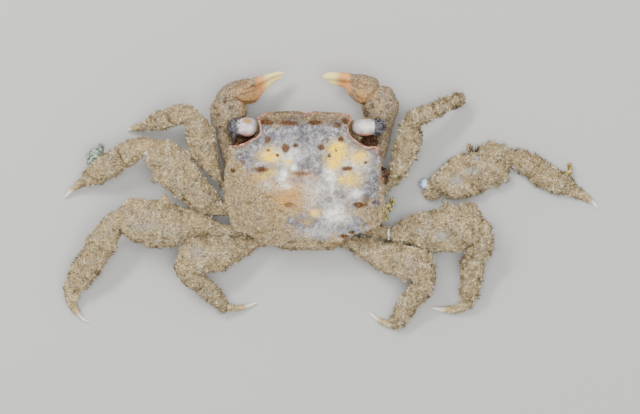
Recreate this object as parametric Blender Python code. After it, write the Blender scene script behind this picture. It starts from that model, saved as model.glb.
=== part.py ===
"""A preserved square-backed crab with a coat of silt, one named solid for each piece of its shell.

The crab faces +Y with its back up, and rests on the flat middle of its tail flap at Z = 0, under the
centre of the back shield. Its legs spread nearly flat. The second right leg is broken off and lies
beside the body, and the first right leg has lost its last joint.
"""
import math

import bmesh
import bpy
import numpy as np
from mathutils import Vector, noise

# Driving dimensions, in millimetres
MM = 0.001
JOINT_GAP = 0.10
SHIELD_TOP = 9.4
SHIELD_UNDERSIDE = 4.15
STERNUM_CENTRE_Y = -2.5
STERNUM_RADII = (7.0, 6.0)
STERNUM_BOTTOM = 0.95
STERNUM_TOP = 4.0
FLAP_THICKNESS = 0.85
LIMB_ROOT_HEIGHT = 2.45
END_OVERRUN = 0.45
COAT_RELIEF = 0.16
COAT_GRAIN = 1.1
BLUNT_END = 4.5

# The back shield's margins, walked round in plan (x, y)
FRONT_MARGIN = [
    (-10.5, 4.6), (-9.4, 4.6), (-8.4, 4.9), (-7.6, 5.3), (-6.8, 5.7), (-6.3, 6.3), (-6.4, 7.4), (-6.7, 8.4),
    (-5.9, 8.9), (-3.7, 9.2), (-1.1, 9.2), (-0.2, 8.9), (0.9, 9.2), (3.8, 9.0), (5.7, 8.8), (6.1, 8.4),
    (5.6, 7.4), (5.5, 6.6), (5.8, 5.9), (6.5, 5.3), (7.2, 4.7), (8.2, 4.3), (9.0, 4.5), (9.7, 4.3)]
RIGHT_MARGIN = [(9.5, -6.2), (10.2, -5.3), (10.5, -3.5), (10.3, -2.0), (10.2, -0.4), (9.9, 1.6), (10.3, 2.7),
                (9.8, 3.4), (9.7, 4.3)]
REAR_MARGIN = [(-9.7, -6.9), (-7.8, -7.3), (-6.3, -8.4), (-5.3, -8.8), (-0.1, -9.1), (4.1, -8.9), (4.8, -8.1),
               (6.3, -7.3), (8.2, -6.9), (9.5, -6.2)]
LEFT_MARGIN = [(-9.7, -6.9), (-10.3, -5.7), (-10.6, -4.1), (-11.0, -2.7), (-11.2, -0.3), (-11.0, 1.4),
               (-10.7, 2.7), (-10.5, 4.6)]
SHIELD_COLUMNS = 25
SHIELD_ROWS = 16
CHEEK_CENTRE = (5.7, 5.5, 3.6)
CHEEK_RADII = (2.5, 2.6, 2.0)

# Swellings and furrows of the back shield: x, y, reach along x, reach along y, height
SHIELD_RELIEF = [
    (-3.1, 5.0, 1.5, 1.3, 0.35), (2.6, 5.0, 1.5, 1.3, 0.35), (-6.6, 3.0, 1.8, 1.6, 0.25),
    (6.4, 3.0, 1.8, 1.6, 0.25), (0.0, 0.6, 3.2, 2.6, 0.45), (-7.6, -2.2, 2.2, 3.2, 0.35),
    (7.4, -2.2, 2.2, 3.2, 0.35), (0.2, -5.2, 2.8, 1.9, 0.4), (-0.4, 5.2, 0.5, 3.2, -0.45),
    (-3.4, -2.2, 1.0, 1.6, -0.4), (3.6, -2.2, 1.0, 1.6, -0.4), (0.0, -2.5, 2.0, 0.6, -0.25),
    (-4.9, 0.9, 0.8, 2.0, -0.25), (4.9, 0.9, 0.8, 2.0, -0.25), (-4.5, -6.4, 1.2, 1.2, -0.2),
    (4.7, -6.4, 1.2, 1.2, -0.2)]

# Limb pieces, each a list of stations along it: x, y, z, half width, half depth
LEFT_LEGS = {
    1: {"merus": [(-11.1, -1.2, 2.7, 0.5, 0.8), (-12.2, 0.3, 3.3, 0.9, 1.0), (-13.2, 2.2, 4.2, 1.4, 1.2),
                  (-14.1, 4.2, 5.1, 1.8, 1.2), (-14.8, 6.1, 5.8, 1.9, 1.2), (-15.4, 8.0, 6.2, 1.5, 1.1)],
        "carpus": [(-15.5, 8.3, 6.2, 1.2, 1.0), (-16.3, 8.8, 6.4, 1.2, 1.1), (-17.3, 8.7, 6.2, 1.4, 1.1),
                   (-18.4, 8.5, 5.7, 1.4, 1.0)],
        "propodus": [(-18.4, 8.5, 5.7, 1.4, 1.0), (-19.9, 7.9, 4.5, 1.3, 1.0), (-21.3, 7.6, 3.3, 0.9, 0.8),
                     (-22.3, 7.3, 2.3, 0.6, 0.6)],
        "dactyl": [(-22.3, 7.3, 2.3, 0.6, 0.5), (-23.3, 7.1, 1.5, 0.4, 0.4), (-24.1, 6.9, 0.8, 0.25, 0.3),
                   (-24.6, 6.8, 0.4, 0.1, 0.15)]},
    2: {"merus": [(-12.2, -3.7, 2.7, 1.1, 0.9), (-13.1, -3.0, 3.1, 1.5, 1.1), (-14.4, -2.2, 3.8, 2.0, 1.3),
                  (-15.7, -0.9, 4.4, 2.2, 1.3), (-16.7, 0.2, 5.0, 2.5, 1.3), (-17.8, 1.3, 5.5, 2.7, 1.3),
                  (-18.7, 2.3, 5.8, 2.6, 1.3), (-19.6, 3.6, 6.0, 2.1, 1.2), (-20.5, 4.3, 6.1, 1.2, 1.0)],
        "carpus": [(-20.5, 4.3, 6.1, 1.1, 1.0), (-21.8, 4.2, 6.1, 1.3, 1.1), (-23.0, 3.9, 5.8, 1.6, 1.2),
                   (-24.0, 3.5, 5.5, 1.6, 1.2), (-24.7, 3.1, 5.2, 1.5, 1.1)],
        "propodus": [(-24.7, 3.1, 5.2, 1.5, 1.1), (-26.0, 2.3, 4.3, 1.5, 1.1), (-27.5, 1.4, 3.4, 1.7, 1.1),
                     (-28.8, 0.5, 2.6, 1.4, 0.9), (-29.9, 0.0, 2.0, 0.9, 0.7)],
        "dactyl": [(-29.9, 0.0, 2.0, 0.7, 0.6), (-31.0, -0.7, 1.4, 0.5, 0.5), (-32.1, -1.6, 0.8, 0.4, 0.35),
                   (-33.1, -2.4, 0.3, 0.1, 0.15)]},
    3: {"merus": [(-10.7, -7.2, 2.6, 0.9, 0.9), (-12.6, -6.7, 2.9, 1.2, 1.0), (-14.5, -6.1, 3.4, 1.6, 1.1),
                  (-16.4, -6.0, 4.0, 2.2, 1.2), (-18.3, -6.0, 4.7, 2.7, 1.3), (-20.2, -5.9, 5.3, 3.1, 1.3),
                  (-21.8, -5.7, 5.7, 3.1, 1.3), (-23.6, -5.3, 6.0, 2.7, 1.2), (-24.8, -5.1, 6.1, 1.7, 1.1)],
        "carpus": [(-24.9, -5.1, 6.1, 1.6, 1.1), (-26.3, -5.7, 6.1, 1.6, 1.2), (-27.1, -7.2, 5.7, 1.9, 1.2),
                   (-27.7, -8.8, 5.1, 2.0, 1.2)],
        "propodus": [(-27.7, -8.8, 5.1, 1.9, 1.2), (-29.0, -10.7, 4.2, 2.0, 1.2), (-30.2, -12.4, 3.3, 1.8, 1.1),
                     (-31.1, -13.9, 2.5, 1.6, 0.9), (-32.0, -15.2, 1.9, 1.2, 0.7)],
        "dactyl": [(-32.0, -15.2, 1.9, 1.0, 0.6), (-32.1, -16.6, 1.3, 0.7, 0.5), (-31.5, -17.8, 0.9, 0.5, 0.4),
                   (-30.6, -18.8, 0.5, 0.3, 0.3), (-29.6, -19.4, 0.25, 0.1, 0.15)]},
    4: {"merus": [(-7.4, -9.2, 2.6, 1.1, 0.9), (-9.1, -9.6, 3.2, 1.3, 1.1), (-11.1, -10.2, 4.2, 1.9, 1.3),
                  (-13.2, -10.6, 5.0, 2.0, 1.3), (-14.8, -10.6, 5.5, 2.1, 1.3), (-16.2, -11.0, 5.7, 1.8, 1.1)],
        "carpus": [(-16.2, -11.1, 5.7, 1.8, 1.1), (-16.3, -12.4, 5.1, 1.7, 1.2), (-15.6, -13.5, 4.4, 1.5, 1.2),
                   (-14.4, -14.1, 3.8, 1.2, 1.1)],
        "propodus": [(-14.4, -14.1, 3.8, 1.2, 1.1), (-13.4, -15.0, 3.0, 1.5, 1.1), (-12.2, -16.1, 2.2, 1.3, 0.9),
                     (-11.2, -17.2, 1.4, 0.8, 0.7)],
        "dactyl": [(-11.2, -17.2, 1.4, 0.7, 0.6), (-9.7, -17.4, 0.9, 0.5, 0.45), (-8.2, -17.1, 0.6, 0.3, 0.3),
                   (-6.8, -16.6, 0.3, 0.1, 0.15)]},
}
RIGHT_LEGS = {
    1: {"merus": [(10.5, -1.2, 2.7, 0.5, 0.8), (11.5, -0.1, 3.2, 0.9, 1.0), (12.5, 1.5, 4.0, 1.3, 1.2),
                  (13.2, 3.1, 4.7, 1.6, 1.2), (13.6, 4.9, 5.4, 1.7, 1.2), (13.9, 6.1, 5.8, 1.6, 1.1),
                  (14.1, 7.1, 6.0, 1.3, 1.0)],
        "carpus": [(14.1, 7.1, 6.0, 1.2, 1.0), (14.5, 8.2, 6.3, 1.3, 1.1), (15.6, 8.8, 6.1, 1.3, 1.1),
                   (17.0, 9.2, 5.6, 1.2, 1.0)],
        "propodus": [(17.0, 9.2, 5.6, 1.2, 1.0), (18.3, 9.9, 4.6, 1.1, 0.9), (19.6, 10.6, 3.6, 1.0, 0.8),
                     (20.9, 11.0, 2.7, 0.9, 0.8)]},
    3: {"merus": [(11.1, -7.4, 2.6, 0.9, 0.9), (12.6, -7.2, 3.1, 1.6, 1.1), (14.1, -6.8, 3.8, 2.0, 1.3),
                  (15.7, -6.9, 4.5, 2.5, 1.3), (17.5, -6.9, 5.1, 2.8, 1.3), (19.2, -6.6, 5.6, 2.8, 1.3),
                  (20.8, -6.2, 5.9, 2.8, 1.2), (22.2, -6.4, 5.9, 2.6, 1.1)],
        "carpus": [(22.5, -6.6, 5.9, 2.3, 1.1), (23.2, -8.1, 5.3, 1.7, 1.2), (23.1, -9.6, 4.6, 1.6, 1.2),
                   (22.5, -10.6, 4.0, 1.4, 1.1)],
        "propodus": [(22.5, -10.6, 4.0, 1.4, 1.1), (22.3, -11.7, 3.5, 1.6, 1.1), (22.1, -13.5, 2.7, 1.5, 1.0),
                     (21.8, -15.4, 2.0, 1.4, 0.9), (21.5, -16.8, 1.4, 1.0, 0.7)],
        "dactyl": [(21.5, -16.8, 1.4, 0.9, 0.6), (20.2, -17.5, 0.9, 0.6, 0.5), (18.6, -17.6, 0.5, 0.4, 0.35),
                   (16.7, -17.3, 0.3, 0.1, 0.15)]},
    4: {"merus": [(7.2, -9.7, 2.6, 1.1, 0.9), (8.7, -10.1, 3.1, 1.4, 1.1), (10.3, -10.6, 3.8, 1.9, 1.3),
                  (11.9, -10.9, 4.4, 2.1, 1.3), (13.6, -11.3, 4.9, 2.3, 1.3), (14.9, -11.6, 5.1, 2.2, 1.2),
                  (15.8, -12.1, 5.2, 1.9, 1.1)],
        "carpus": [(15.8, -12.1, 5.2, 1.7, 1.1), (15.8, -13.6, 4.5, 1.4, 1.2), (15.2, -14.9, 3.8, 1.5, 1.1),
                   (14.5, -15.7, 3.3, 1.1, 1.0)],
        "propodus": [(14.5, -15.7, 3.3, 1.1, 1.0), (13.8, -16.5, 2.8, 1.2, 1.0), (13.0, -17.6, 2.2, 1.3, 0.9),
                     (12.5, -18.7, 1.6, 1.0, 0.8), (12.1, -19.5, 1.1, 0.8, 0.65)],
        "dactyl": [(12.1, -19.5, 1.1, 0.7, 0.55), (10.9, -19.5, 0.8, 0.5, 0.45), (9.7, -19.0, 0.5, 0.3, 0.3),
                   (8.3, -18.0, 0.3, 0.1, 0.15)]},
}
LOOSE_LEG = {
    "ischium": [(15.6, -1.9, 0.8, 0.5, 0.6), (16.6, -1.95, 0.95, 0.75, 0.85), (17.9, -2.1, 0.9, 0.6, 0.75)],
    "merus": [(16.6, -0.8, 1.0, 0.8, 0.8), (18.0, -0.2, 1.2, 1.5, 1.1), (19.5, 0.15, 1.35, 2.6, 1.25),
              (21.3, 0.7, 1.4, 3.0, 1.3), (23.3, 1.5, 1.4, 2.9, 1.3), (25.0, 2.0, 1.4, 3.2, 1.3),
              (26.4, 2.1, 1.35, 2.6, 1.2), (27.3, 2.6, 1.2, 1.4, 1.0)],
    "carpus": [(27.4, 3.0, 1.2, 0.9, 0.9), (28.7, 2.7, 1.25, 1.4, 1.1), (29.9, 2.2, 1.3, 1.6, 1.2),
               (31.1, 1.5, 1.25, 1.7, 1.15)],
    "propodus": [(31.1, 1.5, 1.25, 1.6, 1.15), (32.6, 0.4, 1.2, 1.6, 1.1), (34.4, -0.5, 1.0, 1.4, 0.95),
                 (35.7, -1.3, 0.8, 1.1, 0.75), (36.7, -1.8, 0.65, 0.8, 0.6)],
    "dactyl": [(36.7, -1.8, 0.6, 0.7, 0.55), (37.9, -2.4, 0.5, 0.6, 0.45), (38.8, -3.0, 0.4, 0.4, 0.3),
               (39.5, -3.8, 0.3, 0.1, 0.15)],
}
CLAWS = {
    "left": {
        "arm": [(-9.7, 1.2, 2.6, 0.9, 1.1), (-10.5, 3.0, 2.7, 1.0, 1.1), (-11.1, 5.1, 2.9, 1.1, 1.15),
                (-11.5, 7.2, 3.7, 1.1, 1.3)],
        "wrist": [(-11.6, 7.6, 3.9, 1.5, 1.4), (-11.1, 8.8, 4.5, 2.3, 1.7), (-10.6, 10.0, 4.9, 2.6, 1.8),
                  (-10.1, 11.0, 5.1, 2.1, 1.7)],
        "palm": [(-10.1, 11.0, 5.1, 1.9, 1.7), (-9.1, 11.7, 5.1, 1.9, 2.0), (-7.9, 12.1, 4.7, 1.7, 1.8),
                 (-6.8, 12.4, 4.0, 1.2, 1.2), (-5.7, 12.8, 3.6, 0.7, 0.75), (-4.7, 13.5, 3.3, 0.5, 0.45),
                 (-3.3, 14.2, 3.1, 0.15, 0.2)],
        "finger": [(-6.9, 13.5, 6.3, 0.75, 0.7), (-6.1, 13.6, 5.8, 0.7, 0.7), (-5.1, 13.9, 5.0, 0.6, 0.6),
                   (-4.0, 14.3, 4.3, 0.4, 0.4), (-3.0, 14.6, 3.7, 0.12, 0.18)]},
    "right": {
        "arm": [(8.7, 1.2, 2.6, 0.9, 1.1), (9.5, 3.0, 2.7, 1.0, 1.1), (10.1, 5.1, 2.9, 1.1, 1.15),
                (10.6, 7.2, 3.7, 1.1, 1.3)],
        "wrist": [(10.6, 7.6, 3.9, 1.3, 1.4), (10.2, 9.0, 4.5, 2.0, 1.7), (9.8, 10.4, 4.9, 2.2, 1.8),
                  (9.1, 11.4, 5.1, 1.9, 1.7)],
        "palm": [(9.1, 11.4, 5.1, 1.9, 1.7), (7.9, 12.2, 5.1, 1.9, 2.0), (6.7, 12.3, 4.7, 1.7, 1.8),
                 (5.6, 12.5, 4.0, 1.1, 1.2), (4.7, 12.8, 3.6, 0.6, 0.75), (3.7, 13.2, 3.3, 0.45, 0.45),
                 (2.6, 13.6, 3.1, 0.15, 0.2)],
        "finger": [(5.9, 13.7, 6.3, 0.75, 0.7), (4.9, 13.9, 5.8, 0.65, 0.7), (4.0, 14.0, 5.0, 0.55, 0.6),
                   (3.0, 14.1, 4.3, 0.4, 0.4), (2.0, 13.9, 3.7, 0.12, 0.18)]},
}
EYES = {
    "left": [(-6.7, 7.1, 6.9, 0.7, 0.7), (-7.4, 7.1, 7.0, 1.2, 1.2), (-8.3, 7.1, 7.0, 1.3, 1.25),
             (-9.2, 7.1, 7.0, 1.0, 1.05), (-10.1, 7.1, 7.0, 0.9, 0.9), (-10.6, 7.1, 7.0, 0.4, 0.5)],
    "right": [(6.0, 7.1, 6.9, 0.7, 0.7), (6.8, 7.1, 7.0, 1.1, 1.15), (7.9, 7.1, 7.0, 1.2, 1.2),
              (8.9, 7.1, 7.0, 1.0, 1.05), (9.8, 7.1, 7.0, 0.9, 0.9), (10.4, 7.1, 7.0, 0.4, 0.5)],
}
FLESH_BEAD = (15.75, -0.35, 0.74)

# Where each limb leaves the sternum, as an angle in degrees forward of straight sideways
LIMB_ANGLES = {"claw": 42.0, 1: 17.0, 2: -8.0, 3: -32.0, 4: -57.0}

# Spines and teeth fused to the limb pieces: place along the piece, side (+1 is its left), reach
SPINES = {
    "leg_left_2_merus": [(0.72, 1, 0.5), (0.86, -1, 0.5)],
    "leg_left_3_merus": [(0.66, -1, 0.9), (0.55, 1, 0.5), (0.95, -1, 0.4)],
    "leg_left_4_merus": [(0.8, 1, 0.4)],
    "leg_right_2_merus": [(0.78, 1, 0.5), (0.3, 1, 0.5)],
    "leg_right_3_merus": [(0.66, 1, 0.9), (0.85, -1, 0.5)],
    "leg_right_4_merus": [(0.9, 1, 0.6), (0.8, -1, 0.5)],
}

# Paints: name, colour, roughness
SILT = ("silt_coat", (0.42, 0.35, 0.25), 0.95)
SHELL = ("shield_shell", (0.52, 0.48, 0.42), 0.6)
CLAW_SHELL = ("claw_shell", (0.46, 0.34, 0.22), 0.6)
CLAW_TIP = ("claw_tip", (0.75, 0.62, 0.42), 0.35)
BELLY = ("belly_shell", (0.55, 0.48, 0.38), 0.55)
EYE = ("eye_stalk", (0.55, 0.52, 0.55), 0.25)
FLESH = ("flesh_bead", (0.45, 0.55, 0.68), 0.2)
DACTYL = ("dactyl_shell", (0.56, 0.46, 0.3), 0.5)


def clear_scene():
    for item in list(bpy.data.objects):
        bpy.data.objects.remove(item)


def make_material(paint):
    """One Principled material for one finished object."""
    name, colour, roughness = paint
    material = bpy.data.materials.new(name)
    material.use_nodes = True
    shader = material.node_tree.nodes["Principled BSDF"]
    shader.inputs["Base Color"].default_value = (*colour, 1.0)
    shader.inputs["Roughness"].default_value = roughness
    return material


def finish_object(name, bm, paint, home=(0.0, 0.0, 0.0)):
    """Turns a shape in millimetres into a named object in metres, with its origin at home."""
    bmesh.ops.translate(bm, verts=bm.verts[:], vec=-Vector(home))
    bmesh.ops.scale(bm, verts=bm.verts[:], vec=(MM, MM, MM))
    mesh = bpy.data.meshes.new(name)
    bm.to_mesh(mesh)
    bm.free()
    mesh.materials.append(make_material(paint))
    mesh.shade_smooth()
    item = bpy.data.objects.new(name, mesh)
    item.location = Vector(home) * MM
    item.parent = crab
    collection.objects.link(item)
    return item


def through(stations, places):
    """A smooth curve through the stations, read at places from 0 to 1 along its length."""
    rows = np.array(stations, dtype=float)
    steps = np.linalg.norm(np.diff(rows[:, :3], axis=0), axis=1)
    knots = np.concatenate([[0.0], np.cumsum(steps)]) / steps.sum()
    slopes = np.gradient(rows, knots, axis=0)
    spot = np.clip(np.searchsorted(knots, places, side="right") - 1, 0, len(knots) - 2)
    width = (knots[spot + 1] - knots[spot])[:, None]
    t = ((places - knots[spot]) / width[:, 0])[:, None]
    start, end = rows[spot], rows[spot + 1]
    return ((2 * t**3 - 3 * t**2 + 1) * start + (t**3 - 2 * t**2 + t) * width * slopes[spot]
            + (3 * t**2 - 2 * t**3) * end + (t**3 - t**2) * width * slopes[spot + 1])


def overrun(stations, at_start, at_end):
    """The stations with a short straight run added past each end that a joint will trim."""
    rows = [np.array(row, dtype=float) for row in stations]
    if at_start:
        way = rows[0][:3] - rows[1][:3]
        extra = rows[0].copy()
        extra[:3] += way / np.linalg.norm(way) * END_OVERRUN
        rows.insert(0, extra)
    if at_end:
        way = rows[-1][:3] - rows[-2][:3]
        extra = rows[-1].copy()
        extra[:3] += way / np.linalg.norm(way) * END_OVERRUN
        rows.append(extra)
    return rows


def limb_shape(stations, sides, rings, relief, spines=()):
    """A sphere drawn out along the stations, blunt at both ends, with a lumpy coat and its spines."""
    bm = bmesh.new()
    bmesh.ops.create_uvsphere(bm, u_segments=sides, v_segments=rings, radius=1.0)
    round_points = np.array([vert.co for vert in bm.verts])
    along = (1.0 + round_points[:, 2]) / 2.0
    angle = np.arctan2(round_points[:, 1], round_points[:, 0])
    spine_line = through(stations, along)
    ahead = through(stations, np.clip(along + 0.02, 0, 1)) - through(stations, np.clip(along - 0.02, 0, 1))
    forward = ahead[:, :3] / np.linalg.norm(ahead[:, :3], axis=1)[:, None]
    side = np.cross([0.0, 0.0, 1.0], forward)
    side /= np.linalg.norm(side, axis=1)[:, None]
    up = np.cross(forward, side)
    closing = np.maximum(0.0, 1.0 - np.abs(2.0 * along - 1.0) ** BLUNT_END) ** (1.0 / BLUNT_END)
    outward = (side * (np.cos(angle) * spine_line[:, 3])[:, None]
               + up * (np.sin(angle) * spine_line[:, 4])[:, None])
    points = spine_line[:, :3] + outward * closing[:, None]
    reach = np.maximum(np.linalg.norm(outward, axis=1), 1e-6)[:, None]
    lumps = np.array([noise.noise(Vector(point) * COAT_GRAIN) for point in points])
    points += outward / reach * (lumps * relief * closing)[:, None]
    for place, hand, height in spines:
        tip_angle = 0.0 if hand > 0 else math.pi
        miss = np.abs(along - place) * 8.0 + np.abs(np.cos(angle) - math.cos(tip_angle)) + (closing < 0.3) * 9
        tip = int(np.argmin(miss))
        points[tip] += side[tip] * hand * height
    for vert, point in zip(bm.verts, points):
        vert.co = point
    return bm


def trim(bm, point, outward):
    """Cuts the shape flat at a joint: what lies past the plane goes, and the cut is closed."""
    outward = Vector(outward).normalized()
    place = Vector(point) - outward * (JOINT_GAP / 2.0)
    cut = bmesh.ops.bisect_plane(bm, geom=bm.verts[:] + bm.edges[:] + bm.faces[:], dist=1e-5,
                                 plane_co=place, plane_no=outward, clear_outer=True)
    rim = [item for item in cut["geom_cut"] if isinstance(item, bmesh.types.BMEdge)]
    bmesh.ops.holes_fill(bm, edges=rim, sides=0)


def joint_plane(before, after):
    """The plane between two limb pieces: midway between their ends, square to their mean heading."""
    before, after = np.array(before, dtype=float)[:, :3], np.array(after, dtype=float)[:, :3]
    leaving = before[-1] - before[-2]
    arriving = after[1] - after[0]
    heading = leaving / np.linalg.norm(leaving) + arriving / np.linalg.norm(arriving)
    return (before[-1] + after[0]) / 2.0, heading / np.linalg.norm(heading)


def build_chain(prefix, pieces, root_plane, looks):
    """Builds a limb's pieces in order, each trimmed flat at the joints that it shares."""
    names = list(pieces)
    planes = [root_plane] + [joint_plane(pieces[a], pieces[b]) for a, b in zip(names, names[1:])] + [None]
    for place, name in enumerate(names):
        near, far = planes[place], planes[place + 1]
        sides, rings, paint, relief = looks[name]
        stations = overrun(pieces[name], near is not None, far is not None)
        bm = limb_shape(stations, sides, rings, relief, SPINES.get(f"{prefix}_{name}", ()))
        if near is not None:
            trim(bm, near[0], -near[1])
        if far is not None:
            trim(bm, far[0], far[1])
        finish_object(f"{prefix}_{name}", bm, paint, home=pieces[name][0][:3])


def sternum_root(hand, which):
    """Where a limb meets the sternum's oval side, and the direction square to the side there."""
    angle = math.radians(LIMB_ANGLES[which])
    wide, long = STERNUM_RADII
    point = np.array([hand * wide * math.cos(angle), STERNUM_CENTRE_Y + long * math.sin(angle),
                      LIMB_ROOT_HEIGHT])
    square = np.array([hand * math.cos(angle) / wide, math.sin(angle) / long, 0.0])
    return point, square / np.linalg.norm(square)


def hip_stations(root, meet, wide, deep):
    """Three stations from the sternum's side to the start of the next piece, swollen in the middle."""
    middle = (np.array(root) + np.array(meet)) / 2.0
    return [(*root, wide * 0.9, deep), (*middle, wide, deep * 1.1), (*meet, wide * 0.85, deep)]


LEG_LOOKS = {"hip": (8, 6, SILT, 0.0), "merus": (10, 12, SILT, COAT_RELIEF), "carpus": (8, 8, SILT, COAT_RELIEF),
             "propodus": (8, 10, SILT, COAT_RELIEF), "dactyl": (8, 7, DACTYL, 0.03)}
CLAW_LOOKS = {"hip": (8, 6, CLAW_SHELL, 0.0), "arm": (10, 8, CLAW_SHELL, 0.06), "wrist": (12, 9, CLAW_SHELL, 0.1),
              "palm": (12, 13, CLAW_SHELL, 0.05)}


def build_leg(side, number, pieces):
    hand = 1.0 if side == "right" else -1.0
    root, square = sternum_root(hand, number)
    chain = {"hip": hip_stations(root, pieces["merus"][0][:3], 0.95, 0.95), **pieces}
    build_chain(f"leg_{side}_{number}", chain, (root, square), LEG_LOOKS)


def build_stump():
    """The hip left on the body where the second right leg broke off, with a ragged outer end."""
    root, square = sternum_root(1.0, 2)
    stations = overrun(hip_stations(root, (9.9, -3.6, 2.6), 1.0, 0.95), True, False)
    bm = limb_shape(stations, 8, 7, COAT_RELIEF)
    trim(bm, root, -square)
    finish_object("leg_right_2_stump", bm, SILT, home=tuple(root))


def build_loose_leg():
    """The broken-off leg: its chain lies on the surface, with the ischium stub and bead beside it."""
    chain = {name: LOOSE_LEG[name] for name in ("merus", "carpus", "propodus", "dactyl")}
    build_chain("leg_right_2", chain, None, LEG_LOOKS)
    bm = limb_shape(LOOSE_LEG["ischium"], 8, 8, COAT_RELIEF)
    finish_object("leg_right_2_ischium", bm, SILT, home=LOOSE_LEG["ischium"][0][:3])
    x, y, radius = FLESH_BEAD
    bm = bmesh.new()
    bmesh.ops.create_icosphere(bm, subdivisions=2, radius=radius)
    bmesh.ops.translate(bm, verts=bm.verts[:], vec=(x, y, radius + 0.02))
    finish_object("leg_right_2_flesh_bead", bm, FLESH, home=(x, y, radius))


def build_claw(side, pieces):
    hand = 1.0 if side == "right" else -1.0
    root, square = sternum_root(hand, "claw")
    chain = {"hip": hip_stations(root, pieces["arm"][0][:3], 0.9, 0.95)}
    chain.update({name: pieces[name] for name in ("arm", "wrist", "palm")})
    build_chain(f"claw_{side}", chain, (root, square), CLAW_LOOKS)
    bm = limb_shape(pieces["finger"], 10, 11, 0.0)
    finish_object(f"claw_{side}_finger", bm, CLAW_TIP, home=pieces["finger"][0][:3])


def keep_corners(points, count):
    """A polyline with exactly count points: every listed point stays, and the longest runs are split."""
    rows = [np.array(point, dtype=float) for point in points]
    while len(rows) < count:
        runs = [np.linalg.norm(b - a) for a, b in zip(rows, rows[1:])]
        longest = int(np.argmax(runs))
        rows.insert(longest + 1, (rows[longest] + rows[longest + 1]) / 2.0)
    return np.array(rows)


def shield_height(x, y):
    """Height of the back: flat on top, falling to the sides, the rear and the folded-down front."""
    front_drop = 2.6 * np.clip((y - 7.2) / 2.0, 0, None) ** 1.4
    side_drop = 2.0 * np.clip((np.abs(x) - 7.5) / 3.5, 0, None) ** 2
    rear_drop = 3.0 * np.clip((-2.0 - y) / 7.0, 0, None) ** 2
    height = SHIELD_TOP - front_drop - side_drop - rear_drop
    for cx, cy, reach_x, reach_y, rise in SHIELD_RELIEF:
        height = height + rise * np.exp(-((x - cx) / reach_x) ** 2 - ((y - cy) / reach_y) ** 2)
    return height


def shield_plan(u, v):
    """A patch spanned by the four margins: u runs left to right and v rear to front, both 0 to 1."""
    front = keep_corners(FRONT_MARGIN, SHIELD_COLUMNS + 1)
    rear = keep_corners(REAR_MARGIN, SHIELD_COLUMNS + 1)
    left = keep_corners(LEFT_MARGIN, SHIELD_ROWS + 1)
    right = keep_corners(RIGHT_MARGIN, SHIELD_ROWS + 1)
    column = np.rint(u * SHIELD_COLUMNS).astype(int)
    row = np.rint(v * SHIELD_ROWS).astype(int)
    u, v = u[:, None], v[:, None]
    across = (1 - v) * rear[column] + v * front[column]
    along = (1 - u) * left[row] + u * right[row]
    corners = ((1 - u) * (1 - v) * rear[0] + u * (1 - v) * rear[-1] + (1 - u) * v * front[0] + u * v * front[-1])
    return across + along - corners


def under_rim(point, level):
    """A rim point carried down the side wall, tucked in, and out again to floor the orbits."""
    x, y = point
    tuck = 1.0 - 0.035 * level
    floor_edge = 8.0 - (abs(x) - 6.0) * 0.85
    if level == 2 and 5.4 < abs(x) < 10.0 and 3.9 < y < floor_edge:
        return x * tuck, (y + floor_edge) / 2.0
    return x * tuck, y * tuck


def cheek_shape(hand):
    """The lobe that the shield folds down into beside the mouth, below the orbit."""
    bm = bmesh.new()
    bmesh.ops.create_uvsphere(bm, u_segments=12, v_segments=8, radius=1.0)
    for vert in bm.verts:
        local = [vert.co[axis] * CHEEK_RADII[axis] for axis in range(3)]
        vert.co = (hand * CHEEK_CENTRE[0] + local[0], CHEEK_CENTRE[1] + local[1], CHEEK_CENTRE[2] + local[2])
    return bm


def fuse(target, bm, name):
    """Joins a shape in millimetres to an object, by an exact Boolean union that stays live."""
    bmesh.ops.scale(bm, verts=bm.verts[:], vec=(MM, MM, MM))
    mesh = bpy.data.meshes.new(name)
    bm.to_mesh(mesh)
    bm.free()
    helper = bpy.data.objects.new(name, mesh)
    helper.hide_render = True
    helper.display_type = "WIRE"
    helpers.objects.link(helper)
    union = target.modifiers.new(name, "BOOLEAN")
    union.operation = "UNION"
    union.solver = "EXACT"
    union.object = helper


def build_carapace():
    """The back shield: a gridded patch over the margins, side walls and a flat underside."""
    bm = bmesh.new()
    bmesh.ops.create_grid(bm, x_segments=SHIELD_COLUMNS, y_segments=SHIELD_ROWS, size=1.0)
    square = np.array([vert.co for vert in bm.verts])
    plan = shield_plan((square[:, 0] + 1) / 2, (square[:, 1] + 1) / 2)
    heights = shield_height(plan[:, 0], plan[:, 1])
    for vert, (x, y), z in zip(bm.verts, plan, heights):
        vert.co = (x, y, z)
    rim = [edge for edge in bm.edges if edge.is_boundary]
    for level, share in ((1, 0.45), (2, 0.0)):
        grown = bmesh.ops.extrude_edge_only(bm, edges=rim)["geom"]
        for vert in [item for item in grown if isinstance(item, bmesh.types.BMVert)]:
            x, y = under_rim(vert.co.xy, level)
            drop = SHIELD_UNDERSIDE + (vert.co.z - SHIELD_UNDERSIDE) * share
            vert.co = (x, y, drop)
        rim = [item for item in grown if isinstance(item, bmesh.types.BMEdge)]
    bmesh.ops.edgeloop_fill(bm, edges=rim)
    bmesh.ops.recalc_face_normals(bm, faces=bm.faces[:])
    shield = finish_object("carapace", bm, SHELL, home=(0.0, 0.0, SHIELD_UNDERSIDE))
    for hand, side in ((-1.0, "left"), (1.0, "right")):
        fuse(shield, cheek_shape(hand), f"cheek_{side}")


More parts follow.
